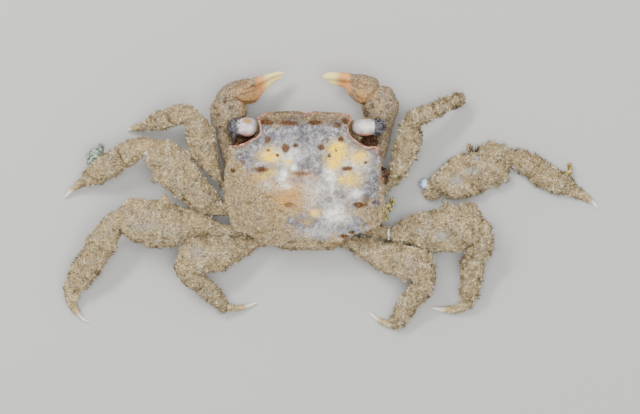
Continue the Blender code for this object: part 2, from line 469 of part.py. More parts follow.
def build_sternum():
    """The breast plate: a low oval drum with a rounded lower edge."""
    wide, long = STERNUM_RADII
    bm = bmesh.new()
    bmesh.ops.create_cone(bm, cap_ends=True, segments=36, radius1=0.80, radius2=1.0,
                          depth=STERNUM_TOP - STERNUM_BOTTOM)
    lower = [edge for edge in bm.edges if all(vert.co.z < 0 for vert in edge.verts)]
    bmesh.ops.bevel(bm, geom=lower, offset=0.12, segments=2, affect="EDGES")
    middle = (STERNUM_TOP + STERNUM_BOTTOM) / 2.0
    for vert in bm.verts:
        vert.co = (vert.co.x * wide, STERNUM_CENTRE_Y + vert.co.y * long, vert.co.z + middle)
    finish_object("sternum", bm, BELLY, home=(0.0, STERNUM_CENTRE_Y, STERNUM_BOTTOM))


def build_abdomen():
    """The folded tail flap: seven segments that narrow towards the front, flat underneath."""
    segments, steps = 7, 3
    rear, front = -9.2, 2.7
    bm = bmesh.new()
    bmesh.ops.create_grid(bm, x_segments=2, y_segments=segments * steps, size=1.0)
    for vert in bm.verts:
        along = (vert.co.y + 1.0) / 2.0
        phase = (along * segments) % 1.0
        notch = 0.12 if min(phase, 1.0 - phase) < 0.05 and 0.01 < along < 0.99 else 0.0
        half = 3.3 * (1.0 - along) ** 0.8 + 0.75 * math.sqrt(max(0.0, 1.0 - along**6)) + 0.1 - notch
        vert.co = (vert.co.x * half, rear + (front - rear) * along, 0.0)
    body = bmesh.ops.extrude_face_region(bm, geom=bm.faces[:])["geom"]
    for vert in [item for item in body if isinstance(item, bmesh.types.BMVert)]:
        vert.co = (vert.co.x * 0.86, vert.co.y * 0.99, FLAP_THICKNESS)
    bmesh.ops.recalc_face_normals(bm, faces=bm.faces[:])
    finish_object("abdomen", bm, BELLY)


def build_maxilliped(hand):
    """One mouth-cover plate: a flattened, squared egg that leans up towards the front."""
    centre, radii, lean, squareness = Vector((hand * 1.58, 6.0, 2.35)), Vector((1.5, 2.35, 1.15)), 0.16, 0.72
    bm = bmesh.new()
    bmesh.ops.create_uvsphere(bm, u_segments=12, v_segments=8, radius=1.0)
    for vert in bm.verts:
        local = Vector(math.copysign(abs(vert.co[axis]) ** squareness, vert.co[axis]) * radii[axis]
                       for axis in range(3))
        local.z += lean * local.y
        vert.co = centre + local
    finish_object("maxilliped_right" if hand > 0 else "maxilliped_left", bm, BELLY, home=centre)


clear_scene()
collection = bpy.data.collections.new("crab")
bpy.context.scene.collection.children.link(collection)
helpers = bpy.data.collections.new("crab_helpers")
bpy.context.scene.collection.children.link(helpers)
crab = bpy.data.objects.new("crab_root", None)
collection.objects.link(crab)

build_carapace()
build_sternum()
build_abdomen()
for side_sign in (-1.0, 1.0):
    build_maxilliped(side_sign)
for side_name, eye_stations in EYES.items():
    finish_object(f"eye_{side_name}", limb_shape(eye_stations, 10, 9, 0.0), EYE, home=eye_stations[0][:3])
for side_name, claw_pieces in CLAWS.items():
    build_claw(side_name, claw_pieces)
for leg_number, leg_pieces in LEFT_LEGS.items():
    build_leg("left", leg_number, leg_pieces)
for leg_number, leg_pieces in RIGHT_LEGS.items():
    build_leg("right", leg_number, leg_pieces)
build_stump()
build_loose_leg()
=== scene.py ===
# %% [markdown]
# # Dressing a preserved crab in its coat of silt
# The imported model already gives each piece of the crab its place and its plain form. What it lacks is
# what the eye sees first: felted silt on the legs, a bare wet patch of shell on the back, glossy eye
# stalks, claw tips like porcelain. A picture could be laid over the solids, or clay could be sculpted by
# hand. Here each skin is worked out with numpy on a fine grid instead, so that every lump has a formula.

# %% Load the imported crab
import itertools

import bpy
import numpy as np
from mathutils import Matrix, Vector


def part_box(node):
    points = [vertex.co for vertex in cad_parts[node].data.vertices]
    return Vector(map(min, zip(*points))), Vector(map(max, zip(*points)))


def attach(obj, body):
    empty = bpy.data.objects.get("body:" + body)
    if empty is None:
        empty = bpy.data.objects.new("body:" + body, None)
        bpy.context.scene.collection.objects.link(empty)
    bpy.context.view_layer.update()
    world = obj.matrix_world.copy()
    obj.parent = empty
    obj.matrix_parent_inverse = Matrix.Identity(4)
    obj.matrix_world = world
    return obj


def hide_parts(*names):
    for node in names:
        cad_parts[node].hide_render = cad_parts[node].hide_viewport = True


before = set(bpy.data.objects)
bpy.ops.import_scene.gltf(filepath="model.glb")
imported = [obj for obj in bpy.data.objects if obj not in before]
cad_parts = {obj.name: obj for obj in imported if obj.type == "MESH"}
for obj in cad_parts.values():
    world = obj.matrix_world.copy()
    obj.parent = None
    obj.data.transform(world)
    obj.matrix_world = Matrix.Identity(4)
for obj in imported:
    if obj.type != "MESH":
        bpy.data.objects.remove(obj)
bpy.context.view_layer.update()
MM = 0.001
dressed = bpy.data.collections.new("dressed_crab")
bpy.context.scene.collection.children.link(dressed)

# %% [markdown]
# The crab was pictured from straight above, so the camera hangs over it and looks down, with the crab's
# front at the top. A short lens close by would see the whole crab too, but it would swell the near back.
# A long lens from half a metre keeps the back and the far legs at one scale.

# %% The camera
PICTURE_WIDE, PICTURE_TALL = 640, 414
BODY_PIXEL = (307.5, 180.0)
MM_PER_PIXEL = 0.135
SHARP_HEIGHT = 4.0
LENS, FILM_WIDTH = 200.0, 36.0


def from_picture(x, y):
    """Plan place in mm of a picture pixel: the shift from the body's pixel times the scale, y turned up."""
    return (x - BODY_PIXEL[0]) * MM_PER_PIXEL, (BODY_PIXEL[1] - y) * MM_PER_PIXEL


camera_data = bpy.data.cameras.new("overhead")
camera_data.lens, camera_data.sensor_width, camera_data.clip_start = LENS, FILM_WIDTH, 0.01
camera = bpy.data.objects.new("overhead", camera_data)
view_wide = PICTURE_WIDE * MM_PER_PIXEL
middle_x, middle_y = from_picture(PICTURE_WIDE / 2, PICTURE_TALL / 2)
camera.location = (middle_x * MM, middle_y * MM, (SHARP_HEIGHT + view_wide / FILM_WIDTH * LENS) * MM)
dressed.objects.link(camera)
bpy.context.scene.camera = camera
print("camera height in mm:", round(camera.location.z / MM, 1))

# %% [markdown]
# The light could be one hard lamp, but dried silt reads best in a broad soft light with a little
# direction: a key from the front left, a panel overhead and a weak fill. The floor is plain and pale, and
# throws some of the light back into the shadows.

# %% Light and floor
# Each lamp: name, place in m, size in m, power in W, tint
LAMPS = [("key", (-0.20, 0.22, 0.42), 0.22, 5.4, (1.0, 0.98, 0.95)),
         ("overhead", (0.06, -0.03, 0.52), 0.34, 2.8, (1.0, 1.0, 1.0)),
         ("fill", (0.30, -0.12, 0.30), 0.30, 1.5, (0.96, 0.98, 1.0))]
ROOM_LIGHT = 0.82
HALF_FLOOR = 1.2
FLOOR_TONE = (0.44, 0.44, 0.43, 1.0)


def add_light(name, place, size, watts, tint):
    """A square soft light that faces the crab."""
    lamp = bpy.data.lights.new(name, "AREA")
    lamp.size, lamp.energy, lamp.color = size, watts, tint
    item = bpy.data.objects.new(name, lamp)
    item.location = place
    aim = -np.array(place) / np.linalg.norm(place)
    item.rotation_euler = (np.arccos(-aim[2]), 0.0, np.arctan2(aim[0], -aim[1]))
    dressed.objects.link(item)


for lamp in LAMPS:
    add_light(*lamp)
world = bpy.data.worlds.new("studio")
world.use_nodes = True
world.node_tree.nodes["Background"].inputs["Color"].default_value = (1.0, 1.0, 1.0, 1.0)
world.node_tree.nodes["Background"].inputs["Strength"].default_value = ROOM_LIGHT
bpy.context.scene.world = world

floor_mesh = bpy.data.meshes.new("floor")
corners = [(-HALF_FLOOR, -HALF_FLOOR, 0), (HALF_FLOOR, -HALF_FLOOR, 0), (HALF_FLOOR, HALF_FLOOR, 0),
           (-HALF_FLOOR, HALF_FLOOR, 0)]
floor_mesh.from_pydata(corners, [], [(0, 1, 2, 3)])
floor = bpy.data.objects.new("floor", floor_mesh)
floor_paint = bpy.data.materials.new("pale_floor")
floor_paint.use_nodes = True
floor_paint.node_tree.nodes["Principled BSDF"].inputs["Base Color"].default_value = FLOOR_TONE
floor_paint.node_tree.nodes["Principled BSDF"].inputs["Roughness"].default_value = 0.9
floor_mesh.materials.append(floor_paint)
dressed.objects.link(floor)
print("lamps:", len(LAMPS), "floor in m:", 2 * HALF_FLOOR)

# %% [markdown]
# Silt dries in clots of every size, from felted lumps a millimetre wide down to single grains. Blender's
# own noise works one point at a time. A noise of whole arrays is quicker: space is cut into cells, each
# corner gets a repeatable chance, and a point reads a smooth mix of the eight corners round it.

# %% Noise for whole arrays
def chance(cells, seed):
    """A repeatable number from 0 to 1 for each whole-numbered cell, by mixing the bits of x, y, z and seed."""
    x, y, z = np.moveaxis(cells.astype(np.int64), -1, 0)
    mixed = (x * 73856093) ^ (y * 19349663) ^ (z * 83492791) ^ (seed * 50331653)
    mixed = ((mixed ^ (mixed >> 13)) & 0x7FFFFFFF) * 1274126177
    return ((mixed ^ (mixed >> 16)) & 0xFFFF) / 65535.0


def lumps(points, size, seed):
    """Smooth noise from -1 to 1, in lumps of one size: the 8 corner chances mixed by 3t^2 - 2t^3 each way."""
    place = points / size
    cell = np.floor(place)
    t = place - cell
    t = t * t * (3.0 - 2.0 * t)
    total = np.zeros(points.shape[:-1])
    for corner in itertools.product((0, 1), repeat=3):
        weight = np.prod(np.where(corner, t, 1.0 - t), axis=-1)
        total += weight * chance(cell + corner, seed)
    return total * 2.0 - 1.0


def silt_height(points, depth):
    """Thickness of the dried silt over a point: felted lumps, clots and grains, added up to a share of depth."""
    return depth * (0.5 * lumps(points, 1.1, 3) + 0.45 * lumps(points, 0.42, 5) + 0.35 * lumps(points, 0.19, 7))


def soft_step(value, low, high):
    """0 below low, 1 above high, and 3t^2 - 2t^3 between."""
    t = np.clip((value - low) / (high - low), 0.0, 1.0)
    return t * t * (3.0 - 2.0 * t)


def patches(points, ovals, fray, seed, hard=False):
    """A mark that sums soft ovals in picture pixels (x, y, reach along x and y, and a share, 1 if left out):
    share × exp(-d^2), mottled by noise, or a firmer edge near d = 1 when hard. Noise of size fray bends d."""
    mottle = 1.0 if hard else 1.0 + 0.5 * lumps(points, 0.9, seed + 5) + 0.35 * lumps(points, 0.35, seed + 6)
    bend = fray * (lumps(points, 1.5, seed) + 0.7 * lumps(points, 0.5, seed + 1) + 0.5 * lumps(points, 0.2, seed + 2))
    total = np.zeros(points.shape[:-1])
    for pixel_x, pixel_y, wide, tall, *share in ovals:
        x, y = from_picture(pixel_x, pixel_y)
        reach_x, reach_y = np.array((wide, tall)) * MM_PER_PIXEL
        d = np.maximum(np.hypot((points[..., 0] - x) / reach_x, (points[..., 1] - y) / reach_y) + bend, 0.0)
        total += (share[0] if share else 1.0) * (1.0 - soft_step(d, 0.55, 1.3) if hard else np.exp(-(d**2)))
    return np.clip(total * mottle, 0.0, 1.0)


trial = lumps(np.random.default_rng(1).random((5000, 3)) * 40.0, 1.0, 3)
print("noise runs from", round(trial.min(), 2), "to", round(trial.max(), 2))

# %% [markdown]
# Most pieces of a crab are tubes that swell and close: limb joints, eye stalks, even the fingers. So one
# kind of grid serves nearly all: rings of points along a piece, joined by quads, with a fan of triangles
# to close each end. Primitives could be stretched to fit, but their points would bunch up where the detail
# is wanted. A piece may be several such shells, and each carries its marks, such as how pink a point is.

# %% Grids into pieces
FLOOR_CLEARANCE = 0.02


def unit(arrows):
    """Each arrow at length 1."""
    return arrows / np.maximum(np.linalg.norm(arrows, axis=-1, keepdims=True), 1e-9)


def skin_normals(rings):
    """Outward directions on a grid of rings: the step round a ring crossed with the step along the rings."""
    return unit(np.cross(np.roll(rings, -1, axis=1) - np.roll(rings, 1, axis=1), np.gradient(rings, axis=0)))


def swell(rings, height):
    """The grid with each point moved out of the skin by its height in mm, or in where that is below 0."""
    return rings + skin_normals(rings) * height[..., None]


def above_floor(points):
    """The points with none below the floor's clearance: z = max(z, clearance)."""
    return np.concatenate([points[..., :2], np.maximum(points[..., 2:], FLOOR_CLEARANCE)], axis=-1)


def shell(rings, **marks):
    """A closed skin over a grid of rings: quads between neighbours and a fan to the middle of each end."""
    count, around = rings.shape[:2]
    row, j = np.meshgrid(np.arange(count - 1), np.arange(around), indexing="ij")
    k = (j + 1) % around
    quads = np.stack([row * around + j, row * around + k, (row + 1) * around + k, (row + 1) * around + j], -1)
    j = np.arange(around)
    k, start, end = (j + 1) % around, np.full(around, count * around), np.full(around, count * around + 1)
    last = (count - 1) * around
    fans = np.concatenate([np.stack([start, k, j], -1), np.stack([end, last + j, last + k], -1)])
    points = np.concatenate([rings.reshape(-1, 3), [rings[0].mean(0), rings[-1].mean(0)]])
    spread = {name: np.concatenate([mark.ravel(), [mark[0].mean(), mark[-1].mean()]]) for name, mark in
              marks.items()}
    return {"points": points, "quads": quads.reshape(-1, 4), "fans": fans, "marks": spread}


def make_piece(name, shells, finish, nodes=()):
    """Joins shells into one mesh in metres, hangs it on the crab, hides the solids it stands for and prints how far it
    lies off their box.
    """
    starts = np.cumsum([0] + [len(part["points"]) for part in shells])
    points = np.concatenate([part["points"] for part in shells]) * MM
    quads = np.concatenate([part["quads"] + start for part, start in zip(shells, starts)])
    fans = np.concatenate([part["fans"] + start for part, start in zip(shells, starts)])
    corners = np.concatenate([quads.ravel(), fans.ravel()]).astype(np.int32)
    sizes = np.concatenate([np.full(len(quads), 4), np.full(len(fans), 3)])
    mesh = bpy.data.meshes.new(name)
    mesh.vertices.add(len(points))
    mesh.vertices.foreach_set("co", points.ravel())
    mesh.loops.add(len(corners))
    mesh.loops.foreach_set("vertex_index", corners)
    mesh.polygons.add(len(sizes))
    mesh.polygons.foreach_set("loop_start", np.concatenate([[0], np.cumsum(sizes)[:-1]]).astype(np.int32))
    mesh.update(calc_edges=True)
    mesh.validate()
    for mark in shells[0]["marks"]:
        values = np.concatenate([part["marks"][mark] for part in shells]).astype(np.float32)
        mesh.attributes.new(mark, "FLOAT", "POINT").data.foreach_set("value", values)
    mesh.materials.append(finish)
    mesh.shade_smooth()
    item = bpy.data.objects.new(name, mesh)
    dressed.objects.link(item)
    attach(item, "root")
    note = ""
    if nodes:
        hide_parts(*nodes)
        boxes = np.array([[tuple(corner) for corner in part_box(node)] for node in nodes])
        miss = np.abs(np.array([points.min(0), points.max(0)]) - [boxes[:, 0].min(0), boxes[:, 1].max(0)]).max()
        note = f", off the solids' box by {miss / MM:.2f} mm at most"
    print(f"{name}: {2 * len(quads) + len(fans)} triangles{note}")
    return item


print("grid helpers are ready")

# %% [markdown]
# Colour comes from nodes that read Object coordinates, so the grain is fixed in the piece. A finish could
# be one flat colour with a bump, but real silt is a crowd of tones, so each finish starts from a base and
# lays noise-edged tones over it, a layer at a time. First come short words for the nodes themselves.

# %% Short words for the nodes
DEPTH = 1.16


def paint(red, green, blue):
    """A colour given as the eye meets it on a screen, 0 to 255, turned into the linear light Blender mixes.
    The power DEPTH sets mid tones a little deeper, because studio light washes them out."""
    seen = np.array([red, green, blue]) / 255.0
    return (*np.where(seen < 0.04045, seen / 12.92, ((seen + 0.055) / 1.055) ** 2.4) ** DEPTH, 1.0)


def new_finish(name, roughness, shine=0.3):
    """An empty finish: its material, its node tree, its Principled shader and its Object coordinates."""
    material = bpy.data.materials.new(name)
    material.use_nodes = True
    tree = material.node_tree
    shader = tree.nodes["Principled BSDF"]
    shader.inputs["Roughness"].default_value = roughness
    shader.inputs["Specular IOR Level"].default_value = shine
    return material, tree, shader, tree.nodes.new("ShaderNodeTexCoord").outputs["Object"]


def give(tree, socket, value):
    """Sets a socket to a plain value, or links it when the value is another socket."""
    if isinstance(value, bpy.types.NodeSocket):
        tree.links.new(value, socket)
    else:
        socket.default_value = value


def grain(tree, place, size, turn=0.0, detail=2.0):
    """Noise from 0 to 1 in grains of a size in mm; turn picks another pattern of the same size."""
    made = tree.nodes.new("ShaderNodeTexNoise")
    made.noise_dimensions = "4D"
    give(tree, made.inputs["Vector"], place)
    made.inputs["W"].default_value = turn
    made.inputs["Scale"].default_value = 1.0 / (size * MM)
    made.inputs["Detail"].default_value = detail
    return made.outputs["Fac"]


def mark(tree, name):
    """The mark of this name that the mesh carries."""
    made = tree.nodes.new("ShaderNodeAttribute")
    made.attribute_name = name
    return made.outputs["Fac"]


def between(tree, value, low, high, least=0.0, most=1.0):
    """A share that runs softly from least at low to most at high."""
    made = tree.nodes.new("ShaderNodeMapRange")
    made.interpolation_type = "SMOOTHSTEP"
    for socket, number in zip(("Value", "From Min", "From Max", "To Min", "To Max"),
                              (value, low, high, least, most)):
        give(tree, made.inputs[socket], number)
    return made.outputs["Result"]


def times(tree, one, other):
    """Two shares multiplied."""
    made = tree.nodes.new("ShaderNodeMath")
    made.operation = "MULTIPLY"
    give(tree, made.inputs[0], one)
    give(tree, made.inputs[1], other)
    return made.outputs[0]


def layer(tree, share, under, over):
    """The colour over laid on the colour under, by a share from 0 to 1."""
    made = tree.nodes.new("ShaderNodeMix")
    made.data_type = "RGBA"
    for socket, value in zip((0, 6, 7), (share, under, over)):
        give(tree, made.inputs[socket], value)
    return made.outputs[2]


print("node helpers are ready")

# %% [markdown]
# Every finish repeats the same four steps, so each step is a helper: tones broken by noise, a tone where
# the mesh carries a mark, a run of tones along a mark, and fine specks. A last one hands the colour, the
# roughness and the bumps to the shader.

# %% Helpers for finishes
def washes(tree, place, ground, rows):
    """A ground tone with others laid over it. A row is a grain size in mm, a turn, the noise where the tone
    starts and where it is fullest, its share there, and the tone."""
    colour = paint(*ground)
    for size, turn, low, high, most, tone in rows:
        colour = layer(tree, between(tree, grain(tree, place, size, turn), low, high, 0.0, most), colour, paint(*tone))
    return colour


def stain(tree, name, colour, tone, strength=None):
    """A tone laid where the mesh carries a mark, its share multiplied by a strength if one is given."""
    share = mark(tree, name)
    return layer(tree, share if strength is None else times(tree, share, strength), colour, tone)


def tones_along(tree, name, colour, *steps):
    """Tones that follow each other along a mark: each takes over as the mark goes from low to high."""
    for low, high, tone in steps:
        colour = layer(tree, between(tree, mark(tree, name), low, high), colour, paint(*tone))
    return colour


def speckle(tree, place, colour, size, share, tone, turn):
    """Scattered specks of one tone: the noise is cut high, so that about the given share shows."""
    return layer(tree, between(tree, grain(tree, place, size, turn, 0.0), 0.72 - share, 0.78 - share), colour, tone)


def apply(tree, shader, place, colour, bumps=None, roughness=None):
    """Hands over the colour, bumps of a grain size, turn and depth in mm, and a roughness that varies."""
    give(tree, shader.inputs["Base Color"], colour)
    if roughness is not None:
        give(tree, shader.inputs["Roughness"], roughness)
    if bumps is not None:
        size, turn, depth = bumps
        made = tree.nodes.new("ShaderNodeBump")
        made.inputs["Distance"].default_value = depth * MM
        made.inputs["Strength"].default_value = 1.0
        give(tree, made.inputs["Height"], grain(tree, place, size, turn))
        give(tree, shader.inputs["Normal"], made.outputs["Normal"])


print("finish helpers are ready")

# %% [markdown]
# The coat is fine grey-brown mud and sand, matted into short felt. Up close it is a crowd of tan, grey and
# straw grains with a rusty stain here and there, grey where the shell shows through and dark in the joint
# seams. It has no gloss at all. The small hairs and the sand grains get their tone from a mark that each
# one carries, because a hair is too thin to show a pattern of its own.

# %% The finishes of silt, felt and sand
silt, tree, shader, place = new_finish("silt_coat", 0.92, 0.15)
colour = washes(tree, place, (164, 147, 115), [
    (1.7, 0.0, 0.35, 0.65, 1.0, (153, 143, 122)), (2.6, 4.0, 0.56, 0.72, 0.4, (170, 126, 80)),
    (0.30, 9.0, 0.48, 0.68, 0.7, (212, 197, 160)), (0.26, 2.0, 0.48, 0.32, 0.6, (104, 88, 62)),
    (0.9, 5.0, 0.5, 0.68, 0.55, (196, 174, 128)), (0.8, 7.0, 0.48, 0.34, 0.45, (128, 112, 88))])
colour = stain(tree, "bald", colour, paint(164, 163, 164))
colour = stain(tree, "seam", colour, paint(84, 66, 46), 0.75)
colour = speckle(tree, place, colour, 0.16, 0.05, paint(46, 36, 26), 13.0)
apply(tree, shader, place, colour, bumps=(0.16, 5.0, 0.12))

felt, tree, shader, place = new_finish("silt_felt", 0.95, 0.1)
apply(tree, shader, place, tones_along(tree, "tone", paint(112, 96, 70), (0.0, 0.5, (173, 157, 127)),
                               (0.5, 1.0, (240, 229, 200))))

grit, tree, shader, place = new_finish("sand_grains", 0.5, 0.4)
apply(tree, shader, place, tones_along(tree, "tone", paint(60, 44, 28), (0.0, 0.35, (176, 148, 100)),
                               (0.45, 0.8, (232, 222, 192)), (0.9, 0.95, (200, 134, 62))))
print("finishes so far:", [silt.name, felt.name, grit.name])

# %% [markdown]
# Each limb piece follows the same stations as its solid: a few places along it, with its half width and
# half depth there. A smooth curve runs through them. A real leg is not round, so width and depth differ,
# and both ends close bluntly and reach a little into the next piece, as a shell joint does.

# %% The stations of the limbs, in mm: x, y, z, half width, half depth
LEFT_LEGS = {
    1: {"merus": [(-10.9, -1.2, 2.7, 0.45, 0.8), (-12.0, 0.4, 3.3, 0.57, 1.0), (-13.2, 2.2, 4.2, 1.24, 1.2),
                  (-14.1, 4.2, 5.1, 1.75, 1.2), (-14.5, 6.2, 5.8, 1.81, 1.2), (-15.1, 8.0, 6.2, 1.44, 1.1)],
        "carpus": [(-15.6, 8.3, 6.2, 1.27, 1.0), (-16.3, 9.0, 6.4, 1.06, 1.1), (-17.3, 8.8, 6.2, 1.29, 1.1),
                   (-18.4, 8.5, 5.7, 1.2, 1.0)],
        "propodus": [(-18.4, 8.5, 5.7, 1.29, 1.0), (-19.9, 7.9, 4.5, 1.23, 1.0), (-21.3, 7.6, 3.3, 0.87, 0.8),
                     (-22.3, 7.2, 2.3, 0.5, 0.6)],
        "dactyl": [(-22.3, 7.3, 2.3, 0.54, 0.5), (-23.3, 7.1, 1.5, 0.4, 0.4), (-24.1, 6.9, 0.8, 0.23, 0.3),
                   (-24.6, 6.8, 0.4, 0.1, 0.15)]},
    2: {"merus": [(-12.2, -3.9, 2.7, 1.35, 0.9), (-13.1, -3.15, 3.1, 1.78, 1.1), (-14.4, -2.2, 3.8, 2.04, 1.3),
                  (-15.7, -0.9, 4.4, 2.15, 1.3), (-16.7, 0.2, 5.0, 2.46, 1.3), (-17.8, 1.3, 5.5, 2.7, 1.3),
                  (-18.7, 2.4, 5.8, 2.47, 1.3), (-19.6, 3.5, 6.0, 2.4, 1.2), (-20.0, 4.7, 6.1, 2.16, 1.0)],
        "carpus": [(-20.5, 4.2, 6.1, 1.21, 1.0), (-21.8, 4.6, 6.1, 1.17, 1.1), (-23.1, 4.1, 5.8, 1.45, 1.2),
                   (-24.0, 3.6, 5.5, 1.57, 1.2), (-24.8, 3.1, 5.2, 1.67, 1.1)],
        "propodus": [(-24.8, 3.3, 5.2, 1.51, 1.1), (-26.0, 2.4, 4.3, 1.56, 1.1), (-27.6, 1.5, 3.4, 1.63, 1.1),
                     (-28.9, 0.6, 2.6, 1.29, 0.9), (-29.9, 0.1, 2.0, 0.92, 0.7)],
        "dactyl": [(-29.9, 0.0, 2.0, 0.62, 0.6), (-31.0, -0.6, 1.4, 0.47, 0.5), (-32.2, -1.5, 0.8, 0.33, 0.35),
                   (-33.1, -2.4, 0.3, 0.1, 0.15)]},
    3: {"merus": [(-10.7, -7.2, 2.6, 0.9, 0.9), (-12.6, -6.7, 2.9, 1.18, 1.0), (-14.5, -6.1, 3.4, 1.6, 1.1),
                  (-16.4, -6.0, 4.0, 2.23, 1.2), (-18.3, -6.1, 4.7, 2.82, 1.3), (-20.2, -5.9, 5.3, 3.08, 1.3),
                  (-21.8, -5.6, 5.7, 2.93, 1.3), (-23.6, -5.2, 6.0, 2.85, 1.2), (-24.9, -4.9, 6.1, 2.24, 1.1)],
        "carpus": [(-25.0, -4.9, 6.1, 0.95, 1.1), (-26.1, -5.8, 6.1, 1.33, 1.2), (-27.0, -7.3, 5.7, 1.76, 1.2),
                   (-27.8, -8.8, 5.1, 2.01, 1.2)],
        "propodus": [(-27.8, -8.7, 5.1, 1.92, 1.2), (-29.1, -10.7, 4.2, 1.73, 1.2),
                     (-30.3, -12.3, 3.3, 1.7, 1.1), (-31.3, -13.7, 2.5, 1.5, 0.9),
                     (-32.5, -14.8, 1.9, 0.88, 0.7)],
        "dactyl": [(-31.8, -15.2, 1.9, 1.25, 0.6), (-32.0, -16.6, 1.3, 0.66, 0.5),
                   (-31.4, -17.8, 0.9, 0.4, 0.4), (-30.6, -18.8, 0.5, 0.21, 0.3),
                   (-29.6, -19.4, 0.25, 0.1, 0.15)]},
    4: {"merus": [(-7.5, -8.4, 2.6, 1.07, 0.9), (-9.1, -9.1, 3.2, 1.47, 1.1), (-11.1, -9.7, 4.2, 2.1, 1.3),
                  (-13.2, -10.1, 5.0, 2.3, 1.3), (-14.8, -10.2, 5.5, 2.45, 1.3),
                  (-16.2, -10.5, 5.7, 2.2, 1.1), (-17.1, -10.2, 5.6, 1.6, 1.0)],
        "carpus": [(-16.2, -11.1, 5.7, 1.69, 1.1), (-16.1, -12.3, 5.1, 1.43, 1.2),
                   (-15.4, -13.4, 4.4, 1.25, 1.2), (-14.4, -14.0, 3.8, 1.13, 1.1)],
        "propodus": [(-14.3, -14.0, 3.8, 1.37, 1.1), (-13.4, -15.0, 3.0, 1.31, 1.1),
                     (-12.2, -16.1, 2.2, 1.03, 0.9), (-11.5, -17.4, 1.4, 0.54, 0.7)],
        "dactyl": [(-11.2, -17.2, 1.4, 0.48, 0.6), (-9.7, -17.4, 0.9, 0.42, 0.45),
                   (-8.2, -17.1, 0.6, 0.25, 0.3), (-6.8, -16.6, 0.3, 0.1, 0.15)]},
}
RIGHT_LEGS = {
    1: {"merus": [(10.4, -1.1, 2.7, 0.24, 0.8), (11.4, 0.0, 3.2, 0.72, 1.0), (12.3, 1.6, 4.0, 1.14, 1.2),
                  (13.0, 3.2, 4.7, 1.42, 1.2), (13.6, 4.9, 5.4, 1.61, 1.2), (13.8, 6.1, 5.8, 1.59, 1.1),
                  (13.7, 7.1, 6.0, 1.31, 1.0)],
        "carpus": [(13.8, 7.2, 6.0, 1.17, 1.0), (14.5, 8.1, 6.3, 1.05, 1.1), (15.6, 8.8, 6.1, 1.13, 1.1),
                   (17.0, 9.3, 5.6, 0.97, 1.0)],
        "propodus": [(17.0, 9.3, 5.6, 0.93, 1.0), (18.3, 9.9, 4.6, 0.85, 0.9), (19.6, 10.6, 3.6, 0.82, 0.8),
                     (20.9, 11.0, 2.7, 0.9, 0.8)]},
    3: {"merus": [(11.1, -7.4, 2.6, 0.82, 0.9), (12.6, -7.3, 3.1, 1.44, 1.1), (14.1, -6.9, 3.8, 1.89, 1.3),
                  (15.7, -6.8, 4.5, 2.54, 1.3), (17.5, -6.9, 5.1, 2.72, 1.3), (19.2, -6.7, 5.6, 2.82, 1.3),
                  (20.8, -6.1, 5.9, 2.61, 1.2), (22.2, -6.0, 5.9, 2.78, 1.1), (23.0, -6.0, 5.8, 2.5, 1.0)],
        "carpus": [(22.4, -6.7, 5.9, 2.16, 1.1), (23.2, -8.1, 5.3, 1.82, 1.2), (22.9, -9.6, 4.6, 1.75, 1.2),
                   (22.5, -10.6, 4.0, 1.21, 1.1)],
        "propodus": [(22.6, -10.6, 4.0, 1.62, 1.1), (22.4, -11.7, 3.5, 1.61, 1.1),
                     (22.2, -13.5, 2.7, 1.33, 1.0), (21.9, -15.4, 2.0, 1.17, 0.9),
                     (21.8, -16.8, 1.4, 0.84, 0.7)],
        "dactyl": [(21.5, -16.9, 1.4, 0.81, 0.6), (20.2, -17.5, 0.9, 0.55, 0.5),
                   (18.6, -17.6, 0.5, 0.38, 0.35), (16.7, -17.3, 0.3, 0.1, 0.15)]},
    4: {"merus": [(7.1, -8.9, 2.6, 1.5, 0.9), (8.6, -9.6, 3.1, 1.65, 1.1), (10.3, -10.3, 3.8, 1.9, 1.3),
                  (11.9, -10.8, 4.4, 2.06, 1.3), (13.6, -11.2, 4.9, 2.22, 1.3), (14.9, -11.6, 5.1, 2.1, 1.2),
                  (16.1, -12.0, 5.2, 2.1, 1.1)],
        "carpus": [(15.7, -12.1, 5.2, 1.45, 1.1), (15.9, -13.6, 4.5, 1.23, 1.2), (15.1, -14.8, 3.8, 1.36, 1.1),
                   (14.5, -15.7, 3.3, 1.36, 1.0)],
        "propodus": [(14.5, -15.7, 3.3, 1.31, 1.0), (13.8, -16.5, 2.8, 1.28, 1.0),
                     (13.1, -17.6, 2.2, 1.28, 0.9), (12.5, -18.7, 1.6, 0.97, 0.8),
                     (11.9, -19.5, 1.1, 0.93, 0.65)],
        "dactyl": [(12.1, -19.7, 1.1, 0.53, 0.55), (10.9, -19.5, 0.8, 0.46, 0.45), (9.7, -19.0, 0.5, 0.3, 0.3),
                   (8.3, -18.0, 0.3, 0.1, 0.15)]},
}
